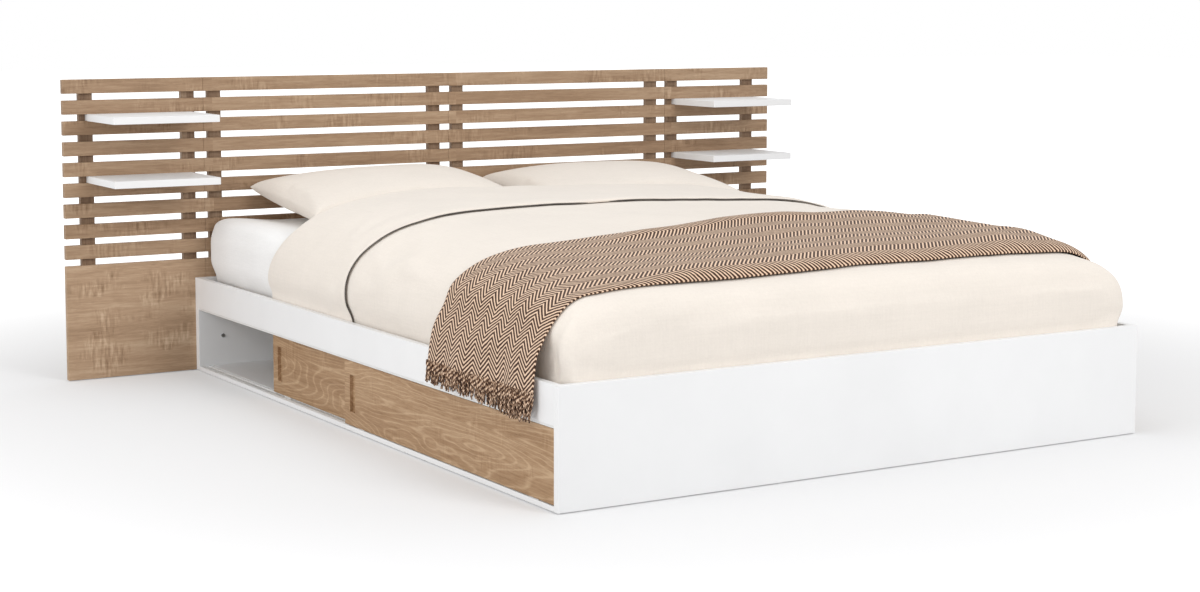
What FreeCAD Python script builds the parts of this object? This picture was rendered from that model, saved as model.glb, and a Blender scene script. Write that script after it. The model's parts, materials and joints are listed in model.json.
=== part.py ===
import FreeCAD, Part
import math
import os

# Storage bed: a slatted headboard with four shelves, a low base with sliding doors on both long sides,
# and its bedding. X runs across the bed, +Y points to the headboard, +Z is up.
# The origin is on the floor, at the middle of the whole bed's width and depth.

V = FreeCAD.Vector

# Driving dimensions, in millimetres: the sleeping surface
MATTRESS_WIDTH = 1600.0
MATTRESS_LENGTH = 2000.0
MATTRESS_HEIGHT = 205.0
MATTRESS_EDGE_RADIUS = 55.0
MATTRESS_CORNER_RADIUS = 40.0
MATTRESS_CROWN = 8.0
MATTRESS_SIDE_GAP = 22.0
MATTRESS_HEAD_GAP = 4.0
MATTRESS_FOOT_GAP = 56.0

# The base
BASE_HEIGHT = 275.0
RAIL_HEIGHT = 88.0
RAIL_THICKNESS = 18.0
HEAD_PANEL_THICKNESS = 22.0
FOOT_PANEL_THICKNESS = 18.0
DIVIDER_THICKNESS = 18.0
NICHE_FLOOR_THICKNESS = 12.0
LEDGER_WIDTH = 40.0
LEDGER_HEIGHT = 30.0
LEDGER_END_SETBACK = 46.0
CENTRE_BEAM_WIDTH = 60.0
BED_SLAT_WIDTH = 70.0
BED_SLAT_THICKNESS = 18.0
BED_SLAT_PITCH = 140.0
BED_SLAT_END_GAP = 2.0
BED_SLAT_MIDDLE_GAP = 10.0
GLIDE_HEIGHT = 2.0
GLIDE_RADIUS = 7.0
GLIDE_END_SETBACK = 60.0

# The sliding doors and their tracks
DOOR_THICKNESS = 16.0
DOOR_FACE_INSET = 2.0
DOOR_SPACING = 5.0
DOOR_OVERLAP = 40.0
DOOR_END_CLEARANCE = 1.0
DOOR_FLOOR_GAP = 1.5
DOOR_TOP_GAP = 1.0
LEFT_REAR_DOOR_OPEN = 500.0
PULL_SETBACK = 31.0
PULL_WIDTH = 30.0
PULL_HEIGHT = 94.0
PULL_DEPTH = 9.0
TRACK_MARGIN = 7.5
BOTTOM_TRACK_DEPTH = 5.0
BOTTOM_TRACK_BASE = 1.5
RIB_WIDTH = 3.0
SHOE_WIDTH = 12.0
SHOE_LENGTH = 40.0
SHOE_SETBACK = 90.0
TOP_TRACK_HEIGHT = 6.0
TOP_TRACK_WEB = 1.5
GUIDE_PIN_RADIUS = 4.0
SLIDE_CLEARANCE = 0.3

# The headboard
CENTRE_MODULE_WIDTH = 806.0
WING_WIDTH = 419.0
SEAM_GAP = 0.5
BASE_PANEL_TOP = 330.0
SLAT_COUNT = 9
SLAT_HEIGHT = 40.0
SLAT_GAP = 19.0
SLAT_THICKNESS = 18.0
POST_WIDTH = 40.0
POST_DEPTH = 18.0
POST_TOP_SETBACK = 5.0
POST_SEAM_INSET = 21.0
POST_END_INSET = 52.0
SHELF_DEPTH = 230.0
SHELF_THICKNESS = 20.0
SHELF_LAP = 22.0
SHELF_CLEARANCE = 0.5
BOARD_EDGE = 0.8
# Shelves sit at gaps between slats and joining plates behind slats, both counted from the top
SHELF_COUNTS = {"upper": 2, "lower": 5}
PLATE_COUNTS = (2, 8)

# Fasteners
SCREW_RADIUS = 2.0
SCREW_HEAD_RADIUS = 4.0
SCREW_HEAD_HEIGHT = 2.0
SLAT_SCREW_BITE = 12.0
SHELF_SCREW_BITE = 40.0
SCREW_CLEARANCE = 0.2
PANEL_SCREW_SETBACK = 70.0
BOLT_RADIUS = 3.0
BOLT_HEAD_RADIUS = 6.0
BOLT_HEAD_HEIGHT = 3.0
BOLT_BITE = 14.0
LOWER_BOLT_HEIGHT = 100.0
UPPER_BOLT_HEIGHT = 170.0
PLATE_LAP = 14.0
PLATE_HEIGHT = 30.0
PLATE_THICKNESS = 2.5
PLATE_SCREW_BITE = 14.0
BRACKET_LEG = 40.0
BRACKET_THICKNESS = 2.5
BRACKET_SCREW_BITE = 12.0
DOWEL_RADIUS = 3.0
DOWEL_LENGTH = 24.0
DOWEL_CLEARANCE = 0.1
DOWEL_SETBACK = 36.0
FLOOR_DOWEL_SETBACK = 70.0

# The bedding
SOFT_CLEARANCE = 0.3
RAIL_TOP_GAP = 0.5
DUVET_START = 496.0
FLAP_LENGTH = 520.0
FLAP_STEP = 6.0
DUVET_HEM = 10.0
DUVET_SHOULDER = 105.0
DUVET_FOOT_RADIUS = 60.0
DUVET_EDGE_LOFT_FOOT = 4.0
DUVET_EDGE_LOFT_HEAD = 48.0
DUVET_CROWN_FOOT = 8.0
DUVET_CROWN_HEAD = 55.0
DUVET_RISE_POWER = 2.0
DUVET_FOLD_RADIUS = 45.0
PILLOW_MARGIN = 106.0
PILLOW_DEPTH = 480.0
PILLOW_HEIGHT = 116.0
PILLOW_PINCH = 16.0
PILLOW_TILT = 6.0
PILLOW_SPACING = 70.0
PILLOWS_ASIDE = 62.0
PILLOW_HEAD_GAP = 14.0
PILLOW_SINK = 12.0
THROW_THICKNESS = 5.0
THROW_HANG = 80.0
THROW_BACK_LEFT = 1547.0
THROW_BACK_RIGHT = 1408.0
THROW_FRONT_LEFT = 2022.0
THROW_FRONT_RIGHT = 1967.0
THROW_FOLD_DEPTH = 7.0
THROW_FOLDS = 2
THROW_OVERHANG = 1.0

# Sizes worked out from them: the plan
BASE_WIDTH = MATTRESS_WIDTH + 2 * (MATTRESS_SIDE_GAP + RAIL_THICKNESS)
INSIDE_LENGTH = MATTRESS_FOOT_GAP + MATTRESS_LENGTH + MATTRESS_HEAD_GAP
BASE_LENGTH = FOOT_PANEL_THICKNESS + INSIDE_LENGTH + HEAD_PANEL_THICKNESS
HALF_BASE = BASE_WIDTH / 2
RAIL_INNER = HALF_BASE - RAIL_THICKNESS
HALF_HEADBOARD = CENTRE_MODULE_WIDTH + WING_WIDTH
REAR_HARDWARE = PLATE_THICKNESS + SCREW_HEAD_HEIGHT
TOTAL_DEPTH = BASE_LENGTH + SLAT_THICKNESS + POST_DEPTH + REAR_HARDWARE
FOOT_Y = -TOTAL_DEPTH / 2
FOOT_INNER_Y = FOOT_Y + FOOT_PANEL_THICKNESS
HEADBOARD_Y = FOOT_Y + BASE_LENGTH
HEAD_INNER_Y = HEADBOARD_Y - HEAD_PANEL_THICKNESS
POST_Y = HEADBOARD_Y + SLAT_THICKNESS
POST_BACK_Y = POST_Y + POST_DEPTH
MATTRESS_FOOT_Y = FOOT_INNER_Y + MATTRESS_FOOT_GAP
MATTRESS_HEAD_Y = MATTRESS_FOOT_Y + MATTRESS_LENGTH

# The heights
RAIL_BOTTOM = BASE_HEIGHT - RAIL_HEIGHT
LEDGER_TOP = RAIL_BOTTOM + LEDGER_HEIGHT
MATTRESS_BOTTOM = LEDGER_TOP + BED_SLAT_THICKNESS
MATTRESS_TOP = MATTRESS_BOTTOM + MATTRESS_HEIGHT
NICHE_FLOOR_TOP = GLIDE_HEIGHT + NICHE_FLOOR_THICKNESS
SLAT_PITCH = SLAT_HEIGHT + SLAT_GAP
HEADBOARD_TOP = BASE_PANEL_TOP + SLAT_COUNT * SLAT_PITCH
SLAT_BOTTOMS = [BASE_PANEL_TOP + SLAT_GAP + k * SLAT_PITCH for k in range(SLAT_COUNT)]
GAP_MIDDLES = [z - SLAT_GAP / 2 for z in SLAT_BOTTOMS]

# The doors: places are measured on the right-hand side and mirrored to the left
FRONT_DOOR_X = HALF_BASE - DOOR_FACE_INSET - DOOR_THICKNESS / 2
REAR_DOOR_X = FRONT_DOOR_X - DOOR_THICKNESS - DOOR_SPACING
TRACK_OUTER = FRONT_DOOR_X + TRACK_MARGIN
TRACK_INNER = REAR_DOOR_X - TRACK_MARGIN
BOTTOM_TRACK_Z = NICHE_FLOOR_TOP - BOTTOM_TRACK_DEPTH
BOTTOM_TRACK_FACE = BOTTOM_TRACK_Z + BOTTOM_TRACK_BASE
TOP_TRACK_Z = RAIL_BOTTOM - TOP_TRACK_HEIGHT
DOOR_BOTTOM = NICHE_FLOOR_TOP + DOOR_FLOOR_GAP
DOOR_TOP = TOP_TRACK_Z - DOOR_TOP_GAP
DOOR_LENGTH = (INSIDE_LENGTH + DOOR_OVERLAP) / 2 - DOOR_END_CLEARANCE

os.makedirs("parts", exist_ok=True)


def block(x_pair, y_pair, z_pair):
    """Rectangular solid between two limits on each axis, in any order."""
    low = V(min(x_pair), min(y_pair), min(z_pair))
    sizes = [abs(pair[1] - pair[0]) for pair in (x_pair, y_pair, z_pair)]
    return Part.makeBox(*sizes, low)


def board(x_pair, y_pair, z_pair):
    """A board with its edges eased."""
    plain = block(x_pair, y_pair, z_pair)
    return plain.makeChamfer(BOARD_EDGE, plain.Edges)


def rod(radius, start, end):
    """Round solid from one point to another."""
    return Part.makeCylinder(radius, (end - start).Length, start, end - start)


def drilled(shape, holes):
    """The shape with round holes cut out, each given as (radius, start, end)."""
    if not holes:
        return shape
    return shape.cut([rod(*hole) for hole in holes])


def screw(seat, along, length, radius, head_radius, head_height):
    """A screw whose head sits on the seat and whose shank runs along a unit vector."""
    shank = rod(radius, seat, seat + along * length)
    head = rod(head_radius, seat - along * head_height, seat)
    return head.fuse(shank).removeSplitter()


def small_screw(seat, along, length):
    return screw(seat, along, length, SCREW_RADIUS, SCREW_HEAD_RADIUS, SCREW_HEAD_HEIGHT)


def screw_hole(seat, along, length):
    """The hole that a small screw needs from its seat, a little deeper than its shank."""
    return (SCREW_RADIUS + SCREW_CLEARANCE, seat, seat + along * (length + SCREW_CLEARANCE))


def save(name, solids):
    """Write one node: one solid, or a group of separate solids."""
    shape = solids[0] if len(solids) == 1 else Part.makeCompound(solids)
    shape.exportStep("parts/" + name + ".step")


def spread(count, first, last):
    """Evenly spaced places, both ends included."""
    return [first + (last - first) * k / (count - 1) for k in range(count)]


# The headboard: four modules side by side, each with a base panel, its slats and two posts
class Module:
    def __init__(self, name, left, right, left_inset, right_inset):
        self.name = name
        self.span = (left + SEAM_GAP / 2, right - SEAM_GAP / 2)
        left_post = left + left_inset + POST_WIDTH / 2
        right_post = right - right_inset - POST_WIDTH / 2
        self.posts = (left_post, right_post)


MODULES = (
    Module("left_wing", -HALF_HEADBOARD, -CENTRE_MODULE_WIDTH, POST_END_INSET, POST_SEAM_INSET),
    Module("left_centre", -CENTRE_MODULE_WIDTH, 0.0, POST_SEAM_INSET, POST_SEAM_INSET),
    Module("right_centre", 0.0, CENTRE_MODULE_WIDTH, POST_SEAM_INSET, POST_SEAM_INSET),
    Module("right_wing", CENTRE_MODULE_WIDTH, HALF_HEADBOARD, POST_SEAM_INSET, POST_END_INSET),
)
SEAM_PAIRS = [(left.posts[1], right.posts[0]) for left, right in zip(MODULES, MODULES[1:])]
TO_FOOT = V(0, -1, 0)
TO_HEAD = V(0, 1, 0)
PANEL_SCREW_HEIGHTS = (GLIDE_HEIGHT + PANEL_SCREW_SETBACK, BASE_PANEL_TOP - PANEL_SCREW_SETBACK)
SLAT_SCREW_HEIGHTS = tuple(z + SLAT_HEIGHT / 2 for z in SLAT_BOTTOMS)
SLAT_SCREW_LENGTH = POST_DEPTH + SLAT_SCREW_BITE
SHELF_SCREW_LENGTH = POST_DEPTH + SHELF_SCREW_BITE
SHELF_HEIGHTS = {level: GAP_MIDDLES[-gap] for level, gap in SHELF_COUNTS.items()}
PLATE_HEIGHTS = tuple(SLAT_SCREW_HEIGHTS[-slat] for slat in PLATE_COUNTS)
PLATE_SCREW_LENGTH = PLATE_THICKNESS + PLATE_SCREW_BITE
BOLT_HEIGHTS = (LOWER_BOLT_HEIGHT, UPPER_BOLT_HEIGHT)
BOLT_LENGTH = HEAD_PANEL_THICKNESS + SLAT_THICKNESS + BOLT_BITE
BOLTED_POSTS = MODULES[1].posts + MODULES[2].posts


def post_seat(x, z):
    """Where a screw head sits on the back of a post."""
    return V(x, POST_BACK_Y, z)


def post_screw_holes(x, heights):
    return [screw_hole(post_seat(x, z), TO_FOOT, SLAT_SCREW_LENGTH) for z in heights]


def bolt_hole(x, z):
    seat = V(x, HEAD_INNER_Y, z)
    length = BOLT_LENGTH + SCREW_CLEARANCE
    return (BOLT_RADIUS + SCREW_CLEARANCE, seat, seat + TO_HEAD * length)


def bolt_holes(posts):
    return [bolt_hole(x, z) for x in posts if x in BOLTED_POSTS for z in BOLT_HEIGHTS]


def shelf_screw_x(module):
    """A shelf laps onto the two posts of its wing and is screwed in the middle of each lap."""
    left = module.posts[0] + POST_WIDTH / 2 - SHELF_LAP / 2
    right = module.posts[1] - POST_WIDTH / 2 + SHELF_LAP / 2
    return left, right


def shelf_screw_hole(x, z):
    return screw_hole(post_seat(x, z), TO_FOOT, SHELF_SCREW_LENGTH)


def plate_span(pair):
    """A joining plate laps onto the near edges of the two posts at a seam."""
    return pair[0] + POST_WIDTH / 2 - PLATE_LAP, pair[1] - POST_WIDTH / 2 + PLATE_LAP


def plate_screw_x(pair):
    left, right = plate_span(pair)
    return left + PLATE_LAP / 2, right - PLATE_LAP / 2


def plate_seat(x, z):
    return V(x, POST_BACK_Y + PLATE_THICKNESS, z)


def plate_screw_hole(x, z):
    return screw_hole(plate_seat(x, z), TO_FOOT, PLATE_SCREW_LENGTH)


def build_base_panel(module):
    panel = board(module.span, (HEADBOARD_Y, POST_Y), (GLIDE_HEIGHT, BASE_PANEL_TOP))
    holes = bolt_holes(module.posts)
    for x in module.posts:
        holes += post_screw_holes(x, PANEL_SCREW_HEIGHTS)
    save(module.name + "_base_panel", [drilled(panel, holes)])


def build_slats(module):
    slats = []
    for z, screw_z in zip(SLAT_BOTTOMS, SLAT_SCREW_HEIGHTS):
        slat = board(module.span, (HEADBOARD_Y, POST_Y), (z, z + SLAT_HEIGHT))
        holes = []
        for x in module.posts:
            holes += post_screw_holes(x, [screw_z])
        slats.append(drilled(slat, holes))
    save(module.name + "_slats", slats)


def build_posts(module):
    sides = ("outer", "inner") if module.name.startswith("left") else ("inner", "outer")
    for side, x in zip(sides, module.posts):
        width = (x - POST_WIDTH / 2, x + POST_WIDTH / 2)
        post = board(width, (POST_Y, POST_BACK_Y), (GLIDE_HEIGHT, HEADBOARD_TOP - POST_TOP_SETBACK))
        holes = post_screw_holes(x, PANEL_SCREW_HEIGHTS + SLAT_SCREW_HEIGHTS) + bolt_holes([x])
        for pair in SEAM_PAIRS:
            if x in pair:
                plate_x = plate_screw_x(pair)[pair.index(x)]
                holes += [plate_screw_hole(plate_x, z) for z in PLATE_HEIGHTS]
        if module.name.endswith("wing"):
            shelf_x = shelf_screw_x(module)[module.posts.index(x)]
            holes += [shelf_screw_hole(shelf_x, z) for z in SHELF_HEIGHTS.values()]
        save(module.name + "_" + side + "_post", [drilled(post, holes)])


def build_shelves():
    """Each shelf butts against the slats, and a thinner tongue goes between two of them to the posts."""
    screws = []
    half = SHELF_THICKNESS / 2
    tongue_half = SLAT_GAP / 2 - SHELF_CLEARANCE
    for side, module in (("left", MODULES[0]), ("right", MODULES[3])):
        screw_x = shelf_screw_x(module)
        width = (screw_x[0] - SHELF_LAP / 2, screw_x[1] + SHELF_LAP / 2)
        for level, z in SHELF_HEIGHTS.items():
            shelf = board(width, (HEADBOARD_Y - SHELF_DEPTH, HEADBOARD_Y), (z - half, z + half))
            tongue = block(width, (HEADBOARD_Y - BOARD_EDGE, POST_Y), (z - tongue_half, z + tongue_half))
            holes = [shelf_screw_hole(x, z) for x in screw_x]
            save(side + "_" + level + "_shelf", [drilled(shelf.fuse(tongue).removeSplitter(), holes)])
            screws += [small_screw(post_seat(x, z), TO_FOOT, SHELF_SCREW_LENGTH) for x in screw_x]
    save("shelf_screws", screws)


def build_headboard_fasteners():
    screws = []
    for module in MODULES:
        for x in module.posts:
            for z in PANEL_SCREW_HEIGHTS + SLAT_SCREW_HEIGHTS:
                screws.append(small_screw(post_seat(x, z), TO_FOOT, SLAT_SCREW_LENGTH))
    save("slat_screws", screws)
    plates = []
    plate_screws = []
    for pair in SEAM_PAIRS:
        for z in PLATE_HEIGHTS:
            screw_x = plate_screw_x(pair)
            height = (z - PLATE_HEIGHT / 2, z + PLATE_HEIGHT / 2)
            plate = block(plate_span(pair), (POST_BACK_Y, POST_BACK_Y + PLATE_THICKNESS), height)
            plates.append(drilled(plate, [plate_screw_hole(x, z) for x in screw_x]))
            plate_screws += [small_screw(plate_seat(x, z), TO_FOOT, PLATE_SCREW_LENGTH) for x in screw_x]
    save("joining_plates", plates)
    save("joining_screws", plate_screws)
    bolts = []
    for x in BOLTED_POSTS:
        for z in BOLT_HEIGHTS:
            seat = V(x, HEAD_INNER_Y, z)
            bolts.append(screw(seat, TO_HEAD, BOLT_LENGTH, BOLT_RADIUS, BOLT_HEAD_RADIUS, BOLT_HEAD_HEIGHT))
    save("headboard_bolts", bolts)


# The base: dowels join the boards end to end, and steel brackets tie the corners
RAIL_MIDDLE = HALF_BASE - RAIL_THICKNESS / 2
RAIL_DOWEL_HEIGHTS = (RAIL_BOTTOM + DOWEL_SETBACK, BASE_HEIGHT - DOWEL_SETBACK / 2)
DIVIDER_DOWEL_HEIGHTS = (NICHE_FLOOR_TOP + DOWEL_SETBACK, RAIL_BOTTOM - DOWEL_SETBACK)
FLOOR_DOWEL_X = spread(3, TRACK_INNER - FLOOR_DOWEL_SETBACK, DIVIDER_THICKNESS / 2 + FLOOR_DOWEL_SETBACK)
FLOOR_DOWEL_Z = GLIDE_HEIGHT + NICHE_FLOOR_THICKNESS / 2
BRACKET_Z = (RAIL_BOTTOM + LEDGER_TOP) / 2
BRACKET_SCREW_LENGTH = BRACKET_THICKNESS + BRACKET_SCREW_BITE
PANEL_FACES = ((HEAD_INNER_Y, 1), (FOOT_INNER_Y, -1))


def dowel_places():
    """Every dowel as (x, z): rails, divider and niche floors, the same at both ends."""
    places = [(0.0, z) for z in DIVIDER_DOWEL_HEIGHTS]
    for side in (-1, 1):
        places += [(side * RAIL_MIDDLE, z) for z in RAIL_DOWEL_HEIGHTS]
        places += [(side * x, FLOOR_DOWEL_Z) for x in FLOOR_DOWEL_X]
    return places


def dowel_ends(x, z, face_y, clearance=0.0):
    """A dowel lies half in each board, across the face where they meet."""
    half = DOWEL_LENGTH / 2 + clearance
    return V(x, face_y - half, z), V(x, face_y + half, z)


def dowel_holes(face_y):
    radius = DOWEL_RADIUS + DOWEL_CLEARANCE
    return [(radius, *dowel_ends(x, z, face_y, DOWEL_CLEARANCE)) for x, z in dowel_places()]


def both_dowel_holes():
    return [hole for face_y, _ in PANEL_FACES for hole in dowel_holes(face_y)]


def bracket_screw_seats(side, face_y, outward):
    """Seat and direction of the two screws of one corner bracket: one into the rail, one into the panel."""
    middle = BRACKET_THICKNESS + (BRACKET_LEG - BRACKET_THICKNESS) / 2
    rail_seat = V(side * (RAIL_INNER - BRACKET_THICKNESS), face_y - outward * middle, BRACKET_Z)
    panel_seat = V(side * (RAIL_INNER - middle), face_y - outward * BRACKET_THICKNESS, BRACKET_Z)
    return (rail_seat, V(side, 0, 0)), (panel_seat, V(0, outward, 0))


def bracket_holes():
    holes = []
    for side in (-1, 1):
        for face_y, outward in PANEL_FACES:
            for seat, along in bracket_screw_seats(side, face_y, outward):
                holes.append(screw_hole(seat, along, BRACKET_SCREW_LENGTH))
    return holes


def build_brackets():
    brackets = []
    screws = []
    height = (RAIL_BOTTOM, LEDGER_TOP)
    for side in (-1, 1):
        for face_y, outward in PANEL_FACES:
            rail_leg = block(
                (side * RAIL_INNER, side * (RAIL_INNER - BRACKET_THICKNESS)),
                (face_y, face_y - outward * BRACKET_LEG),
                height,
            )
            panel_leg = block(
                (side * RAIL_INNER, side * (RAIL_INNER - BRACKET_LEG)),
                (face_y, face_y - outward * BRACKET_THICKNESS),
                height,
            )
            brackets.append(drilled(rail_leg.fuse(panel_leg).removeSplitter(), bracket_holes()))
            for seat, along in bracket_screw_seats(side, face_y, outward):
                screws.append(small_screw(seat, along, BRACKET_SCREW_LENGTH))
    save("corner_brackets", brackets)
    save("bracket_screws", screws)


def build_panels():
    width = (-HALF_BASE, HALF_BASE)
    height = (GLIDE_HEIGHT, BASE_HEIGHT)
    foot = board(width, (FOOT_Y, FOOT_INNER_Y), height)
    save("foot_panel", [drilled(foot, both_dowel_holes() + bracket_holes())])
    head = board(width, (HEAD_INNER_Y, HEADBOARD_Y), height)
    save("head_panel", [drilled(head, both_dowel_holes() + bracket_holes() + bolt_holes(BOLTED_POSTS))])
    dowels = []
    for face_y, _ in PANEL_FACES:
        dowels += [rod(DOWEL_RADIUS, *dowel_ends(x, z, face_y)) for x, z in dowel_places()]
    save("panel_dowels", dowels)


def build_base_sides():
    length = (FOOT_INNER_Y, HEAD_INNER_Y)
    track_span = (TRACK_INNER, TRACK_OUTER)
    for name, side in (("left", -1), ("right", 1)):
        rail = board((side * RAIL_INNER, side * HALF_BASE), length, (RAIL_BOTTOM, BASE_HEIGHT))
        save(name + "_side_rail", [drilled(rail, both_dowel_holes() + bracket_holes())])
        ledger_length = (FOOT_INNER_Y + LEDGER_END_SETBACK, HEAD_INNER_Y - LEDGER_END_SETBACK)
        ledger_width = (side * (RAIL_INNER - LEDGER_WIDTH), side * RAIL_INNER)
        save(name + "_ledger", [block(ledger_width, ledger_length, (RAIL_BOTTOM, LEDGER_TOP))])
        floor_width = (side * DIVIDER_THICKNESS / 2, side * HALF_BASE)
        floor = board(floor_width, length, (GLIDE_HEIGHT, NICHE_FLOOR_TOP))
        track_x = [side * x for x in track_span]
        groove = block(track_x, length, (BOTTOM_TRACK_Z, NICHE_FLOOR_TOP))
        save(name + "_niche_floor", [drilled(floor.cut(groove), both_dowel_holes())])
        bottom_track = block(track_x, length, (BOTTOM_TRACK_Z, BOTTOM_TRACK_FACE))
        top_track = block(track_x, length, (TOP_TRACK_Z, RAIL_BOTTOM))
        for door_x in (FRONT_DOOR_X, REAR_DOOR_X):
            rib = [side * (door_x + half) for half in (-RIB_WIDTH / 2, RIB_WIDTH / 2)]
            bottom_track = bottom_track.fuse(block(rib, length, (BOTTOM_TRACK_Z, NICHE_FLOOR_TOP)))
            reach = GUIDE_PIN_RADIUS + SLIDE_CLEARANCE
            slot = [side * (door_x - reach), side * (door_x + reach)]
            top_track = top_track.cut(block(slot, length, (TOP_TRACK_Z, RAIL_BOTTOM - TOP_TRACK_WEB)))
        save(name + "_bottom_track", [bottom_track.removeSplitter()])
        save(name + "_top_track", [top_track])


def build_middle():
    length = (FOOT_INNER_Y, HEAD_INNER_Y)
    half = DIVIDER_THICKNESS / 2
    divider = board((-half, half), length, (GLIDE_HEIGHT, RAIL_BOTTOM))
    save("centre_divider", [drilled(divider, both_dowel_holes())])
    beam_width = (-CENTRE_BEAM_WIDTH / 2, CENTRE_BEAM_WIDTH / 2)
    save("centre_beam", [block(beam_width, length, (RAIL_BOTTOM, LEDGER_TOP))])
    usable = INSIDE_LENGTH - 2 * LEDGER_END_SETBACK - BED_SLAT_WIDTH
    count = int(usable / BED_SLAT_PITCH) + 1
    middles = spread(count, -usable / 2, usable / 2)
    centre_y = (FOOT_INNER_Y + HEAD_INNER_Y) / 2
    for name, side in (("left", -1), ("right", 1)):
        width = (side * BED_SLAT_MIDDLE_GAP / 2, side * (RAIL_INNER - BED_SLAT_END_GAP))
        slats = []
        for offset in middles:
            y = centre_y + offset
            depth = (y - BED_SLAT_WIDTH / 2, y + BED_SLAT_WIDTH / 2)
            slats.append(block(width, depth, (LEDGER_TOP, MATTRESS_BOTTOM)))
        save(name + "_bed_slats", slats)


def build_glides():
    """Small round feet under every board that stands on the floor."""
    across = spread(4, -HALF_BASE + GLIDE_END_SETBACK, HALF_BASE - GLIDE_END_SETBACK)
    along = spread(4, FOOT_INNER_Y + GLIDE_END_SETBACK, HEAD_INNER_Y - GLIDE_END_SETBACK)
    places = [(x, FOOT_Y + FOOT_PANEL_THICKNESS / 2) for x in across]
    places += [(x, HEADBOARD_Y - HEAD_PANEL_THICKNESS / 2) for x in across]
    places += [(0.0, y) for y in along]
    for side in (-1, 1):
        places += [(side * (HALF_BASE - GLIDE_END_SETBACK), y) for y in along]
    for module in MODULES:
        places += [(x, HEADBOARD_Y + SLAT_THICKNESS / 2) for x in module.posts]
    save("floor_glides", [rod(GLIDE_RADIUS, V(x, y, 0), V(x, y, GLIDE_HEIGHT)) for x, y in places])


def build_door(name, side, door_x, foot_end):
    """A sliding door with a routed finger pull near its head end, and the glides that guide it."""
    face = door_x + DOOR_THICKNESS / 2
    head_end = foot_end + DOOR_LENGTH
    door = board(
        (side * (door_x - DOOR_THICKNESS / 2), side * face), (foot_end, head_end), (DOOR_BOTTOM, DOOR_TOP)
    )
    middle = (DOOR_BOTTOM + DOOR_TOP) / 2
    pull = block(
        (side * (face - PULL_DEPTH), side * face),
        (head_end - PULL_SETBACK - PULL_WIDTH, head_end - PULL_SETBACK),
        (middle - PULL_HEIGHT / 2, middle + PULL_HEIGHT / 2),
    )
    save(name, [door.cut(pull)])
    glides = []
    for y in (foot_end + SHOE_SETBACK, head_end - SHOE_SETBACK):
        length = (y - SHOE_LENGTH / 2, y + SHOE_LENGTH / 2)
        sides = [side * (door_x + half) for half in (-SHOE_WIDTH / 2, SHOE_WIDTH / 2)]
        shoe = block(sides, length, (BOTTOM_TRACK_FACE + SLIDE_CLEARANCE, DOOR_BOTTOM))
        reach = RIB_WIDTH / 2 + SLIDE_CLEARANCE
        rib_space = (BOTTOM_TRACK_FACE, NICHE_FLOOR_TOP + SLIDE_CLEARANCE)
        rib_width = (side * (door_x - reach), side * (door_x + reach))
        glides.append(shoe.cut(block(rib_width, length, rib_space)))
        pin_top = RAIL_BOTTOM - TOP_TRACK_WEB - SLIDE_CLEARANCE
        glides.append(rod(GUIDE_PIN_RADIUS, V(side * door_x, y, DOOR_TOP), V(side * door_x, y, pin_top)))
    save(name + "_glides", glides)


def build_doors():
    """The front door of each pair closes the foot end, the rear one the head end."""
    closed_foot = FOOT_INNER_Y + DOOR_END_CLEARANCE
    closed_head = HEAD_INNER_Y - DOOR_END_CLEARANCE - DOOR_LENGTH
    build_door("left_front_door", -1, FRONT_DOOR_X, closed_foot)
    build_door("left_rear_door", -1, REAR_DOOR_X, closed_head - LEFT_REAR_DOOR_OPEN)
    build_door("right_front_door", 1, FRONT_DOOR_X, closed_foot)
    build_door("right_rear_door", 1, REAR_DOOR_X, closed_head)


# The bedding: soft forms, each a little clear of what it lies on
MATTRESS_MIDDLE_Y = (MATTRESS_FOOT_Y + MATTRESS_HEAD_Y) / 2
DUVET_HEAD_Y = MATTRESS_HEAD_Y - DUVET_START
DUVET_FOOT_Y = FOOT_INNER_Y + RAIL_TOP_GAP
FLAP_Y = DUVET_HEAD_Y - FLAP_LENGTH
DUVET_BOTTOM = MATTRESS_BOTTOM + DUVET_HEM
DUVET_HALF = RAIL_INNER - RAIL_TOP_GAP - FLAP_STEP
PILLOW_WIDTH = CENTRE_MODULE_WIDTH - PILLOW_MARGIN


def rounded_outline(half_x, half_y, radius, z):
    """Level outline round the mattress's middle, with quarter-circle corners."""
    edges = []
    corners = ((1, 1), (-1, 1), (-1, -1), (1, -1))
    arcs = []
    diagonal = radius * math.sqrt(0.5)
    for k, (sx, sy) in enumerate(corners):
        centre = V(sx * (half_x - radius), MATTRESS_MIDDLE_Y + sy * (half_y - radius), z)
        on_x = centre + V(sx * radius, 0, 0)
        on_y = centre + V(0, sy * radius, 0)
        first, last = (on_x, on_y) if k % 2 == 0 else (on_y, on_x)
        arcs.append((first, centre + V(sx * diagonal, sy * diagonal, 0), last))
    for k, arc in enumerate(arcs):
        edges.append(Part.Arc(*arc).toShape())
        edges.append(Part.makeLine(arc[2], arcs[(k + 1) % len(arcs)][0]))
    return Part.Wire(edges)


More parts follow.
